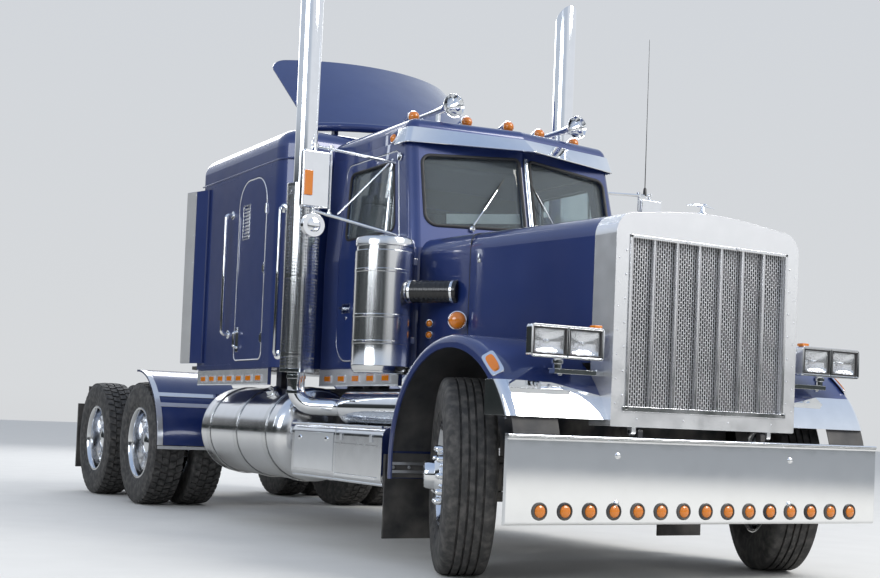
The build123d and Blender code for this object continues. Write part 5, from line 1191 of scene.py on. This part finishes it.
# Visor lip, pale edges of the side extenders with their rivets, and the driver's side aerial
edge, strips, studs, aerial = forms(4)
lip = ((-788, 1428), (-788, 1271), (0, 1032), (788, 1271), (788, 1428))
edge.tube(rounded([(x, y, 2507) for x, y in lip], 0.04, 6), 0.005, 8)
piece("visor_lip", edge, CHROME)
SHEET_X, SHEET_Y, SHEET_SLOPE = 1150, 4235, 82 / 275
outer = [(SHEET_X + SHEET_SLOPE * (y - SHEET_Y), y) for y in (4122, SHEET_Y)]
wrap = [(x - 1, y) for x, y in outer] + [(1141, 4238), (1143, 4242), (1153, 4241)]
wrap += [(x + 2.5, y) for x, y in outer[::-1]]
strips.prism([(x, y, 1172) for x, y in wrap], (0, 0, 1.346))
piece("extender_strips", strips, FLAP, bevel=1, both=True)
for z in range(1220, 2500, 106):
    studs.rivet((outer[0][0] + SHEET_SLOPE * 9 + 2, 4131, z), (1, -SHEET_SLOPE, 0), 5)
piece("extender_rivets", studs, STAINLESS, both=True)
AERIAL = (1240, 1494)
aerial.lathe([(0, 0), (0, 14), (50, 12), (60, 6), (62, 0)], (*AERIAL, 2432), UP, 20)
aerial.tube([(*AERIAL, 2490), (1243, 1500, 2900), (1247, 1508, 3550)], [0.0035, 0.0025, 0.0015], 8)
piece("aerial", aerial, BLACK, "cab_door_left")

# Turn lamps on the cowl and at the roof's sides
lamps, rings = forms(2)
turn_lamp, turn_foot, turn_way = (756, 628, 1373), (702, 668, 1373), (0.62, -0.78, 0)
small_way = (0.80, -0.60, 0)
lamps.lathe([(0, 0), (0, 47), (10, 46), (22, 38), (30, 20), (33, 0)], turn_lamp, turn_way, 36)
rings.lathe([(-6, 48), (-26, 40), (-30, 20), (-30, 0), (-2, 0), (-2, 54), (5, 55), (8, 50), (5, 47)],
            turn_lamp, turn_way, 36)
rings.tube([turn_foot, (745, 642, 1373)], 0.014, 16)
rings.lathe([(0, 0), (0, 30), (5, 29), (7, 14)], turn_foot, OUT, 24)
for z in (1304, 1372):
    lamps.lathe([(0, 0), (0, 19), (6, 18), (12, 10), (14, 0)], (744, 972, z), small_way, 24)
    rings.lathe([(-16, 0), (-16, 21), (2, 25), (5, 23), (5, 19)], (744, 972, z), small_way, 24)
roof_lamp, roof_way = (757, 1500, 2562), (1, 0, 0.35)
lamps.lathe([(0, 0), (0, 30), (8, 29), (18, 20), (24, 8), (25, 0)], roof_lamp, roof_way, 28)
rings.lathe([(-3, 31), (-3, 38), (4, 37), (6, 31)], roof_lamp, roof_way, 28, closed=True)
piece("cowl_turn_lamps", lamps, AMBER, both=True)
piece("cowl_lamp_rings", rings, CHROME, both=True)

# Camera at the photograph's place, with its turn, climb and roll in radians
CAMERA, YAW, PITCH, ROLL = (-4.6116, -9.130, 0.7954), 0.52407, 0.03389, 0.03970
camera_data = bpy.data.cameras.new("camera")
camera = bpy.data.objects.new("camera", camera_data)
bpy.context.scene.collection.objects.link(camera)
forward = Vector((sin(YAW) * cos(PITCH), cos(YAW) * cos(PITCH), sin(PITCH)))
right = Vector((cos(YAW), -sin(YAW), 0))
up = right.cross(forward)
right, up = right * cos(ROLL) + up * sin(ROLL), up * cos(ROLL) - right * sin(ROLL)
camera.matrix_world = Matrix.Translation(CAMERA) @ Matrix((right, up, -forward)).transposed().to_4x4()
camera_data.lens, camera_data.sensor_width = 54.72, 36
camera_data.shift_x, camera_data.shift_y = -0.0063, 0.0989
camera_data.clip_start, camera_data.clip_end = 0.05, 400
bpy.context.scene.camera = camera

# Pale floor, darker as metal mirrors it
FLOOR_HALF = 60
ground = Form()
corners = (-1, -1), (1, -1), (1, 1), (-1, 1)
ground.face(ground.verts([Vector((x * FLOOR_HALF, y * FLOOR_HALF, 0)) for x, y in corners]))
f = Finish("floor")
pale = f.mixed(f.noise(3, 8), (0.66, 0.66, 0.65), (0.74, 0.74, 0.73))
f.put(Base_Color=f.mixed(f.node("LightPath", "Is Glossy Ray"), pale, (0.56, 0.55, 0.52)), Roughness=0.85)
floor = bpy.data.objects.new("floor", ground.mesh("floor"))
floor.data.materials.append(f.owner)
bpy.context.scene.collection.objects.link(floor)

# World: a pale backdrop, and for reflections an open sky that turns to a shaded side on the left
world = bpy.data.worlds.new("studio")
bpy.context.scene.world = world
f = Finish(world)
height = f.span(f.node("SeparateXYZ", "Z", Vector=f.node("TexCoord", "Generated")), -0.3, 1.0, 0, 1)
seen = f.ramp(height, [(0.0, (0.60, 0.60, 0.59)), (0.24, (0.80, 0.82, 0.84)), (1.0, (0.66, 0.72, 0.82))])
open_sky = f.ramp(height, [
    (0.0, (0.10, 0.10, 0.10)), (0.215, (0.20, 0.20, 0.19)), (0.232, (0.05, 0.06, 0.055)),
    (0.268, (0.07, 0.08, 0.08)), (0.285, (0.98, 0.99, 1.0)), (0.42, (0.92, 0.95, 1.0)),
    (0.62, (0.80, 0.88, 1.0)), (1.0, (0.40, 0.52, 0.76)),
])
shaded_side = f.ramp(height, [
    (0.0, (0.08, 0.08, 0.08)), (0.225, (0.10, 0.10, 0.10)), (0.24, (0.025, 0.03, 0.03)),
    (0.36, (0.05, 0.055, 0.06)), (0.40, (0.62, 0.68, 0.76)), (0.60, (0.62, 0.72, 0.90)),
    (1.0, (0.40, 0.52, 0.76)),
])
leftward = f.span(f.node("SeparateXYZ", "X", Vector=f.node("TexCoord", "Generated")), -0.08, -0.38, 0, 1)
sky = f.mixed(f.node("LightPath", "Is Glossy Ray"), seen, f.mixed(leftward, open_sky, shaded_side))
f.put(Color=sky, Strength=0.85)

# Soft lights: place, what they face, size, power and tone
for name, place, target, size, power, tone in (
    ("key", (7, -12, 11), (0, -1, 1.5), (7, 7), 1900, (1.0, 0.97, 0.92)),
    ("fill", (-14, -6, 6), (0, -1, 1.5), (9, 5), 700, (0.92, 0.96, 1.0)),
    ("back", (3, 14, 9), (0, 1, 2), (9, 5), 700, (1, 1, 1)),
):
    data = bpy.data.lights.new(name, "AREA")
    data.shape = "RECTANGLE"
    data.size, data.size_y = size
    data.energy, data.color = power, tone
    light = bpy.data.objects.new(name, data)
    light.location = place
    light.rotation_euler = (Vector(target) - Vector(place)).to_track_quat("-Z", "Y").to_euler()
    bpy.context.scene.collection.objects.link(light)

bpy.context.scene.view_settings.view_transform = "Standard"
low, high = cad_box
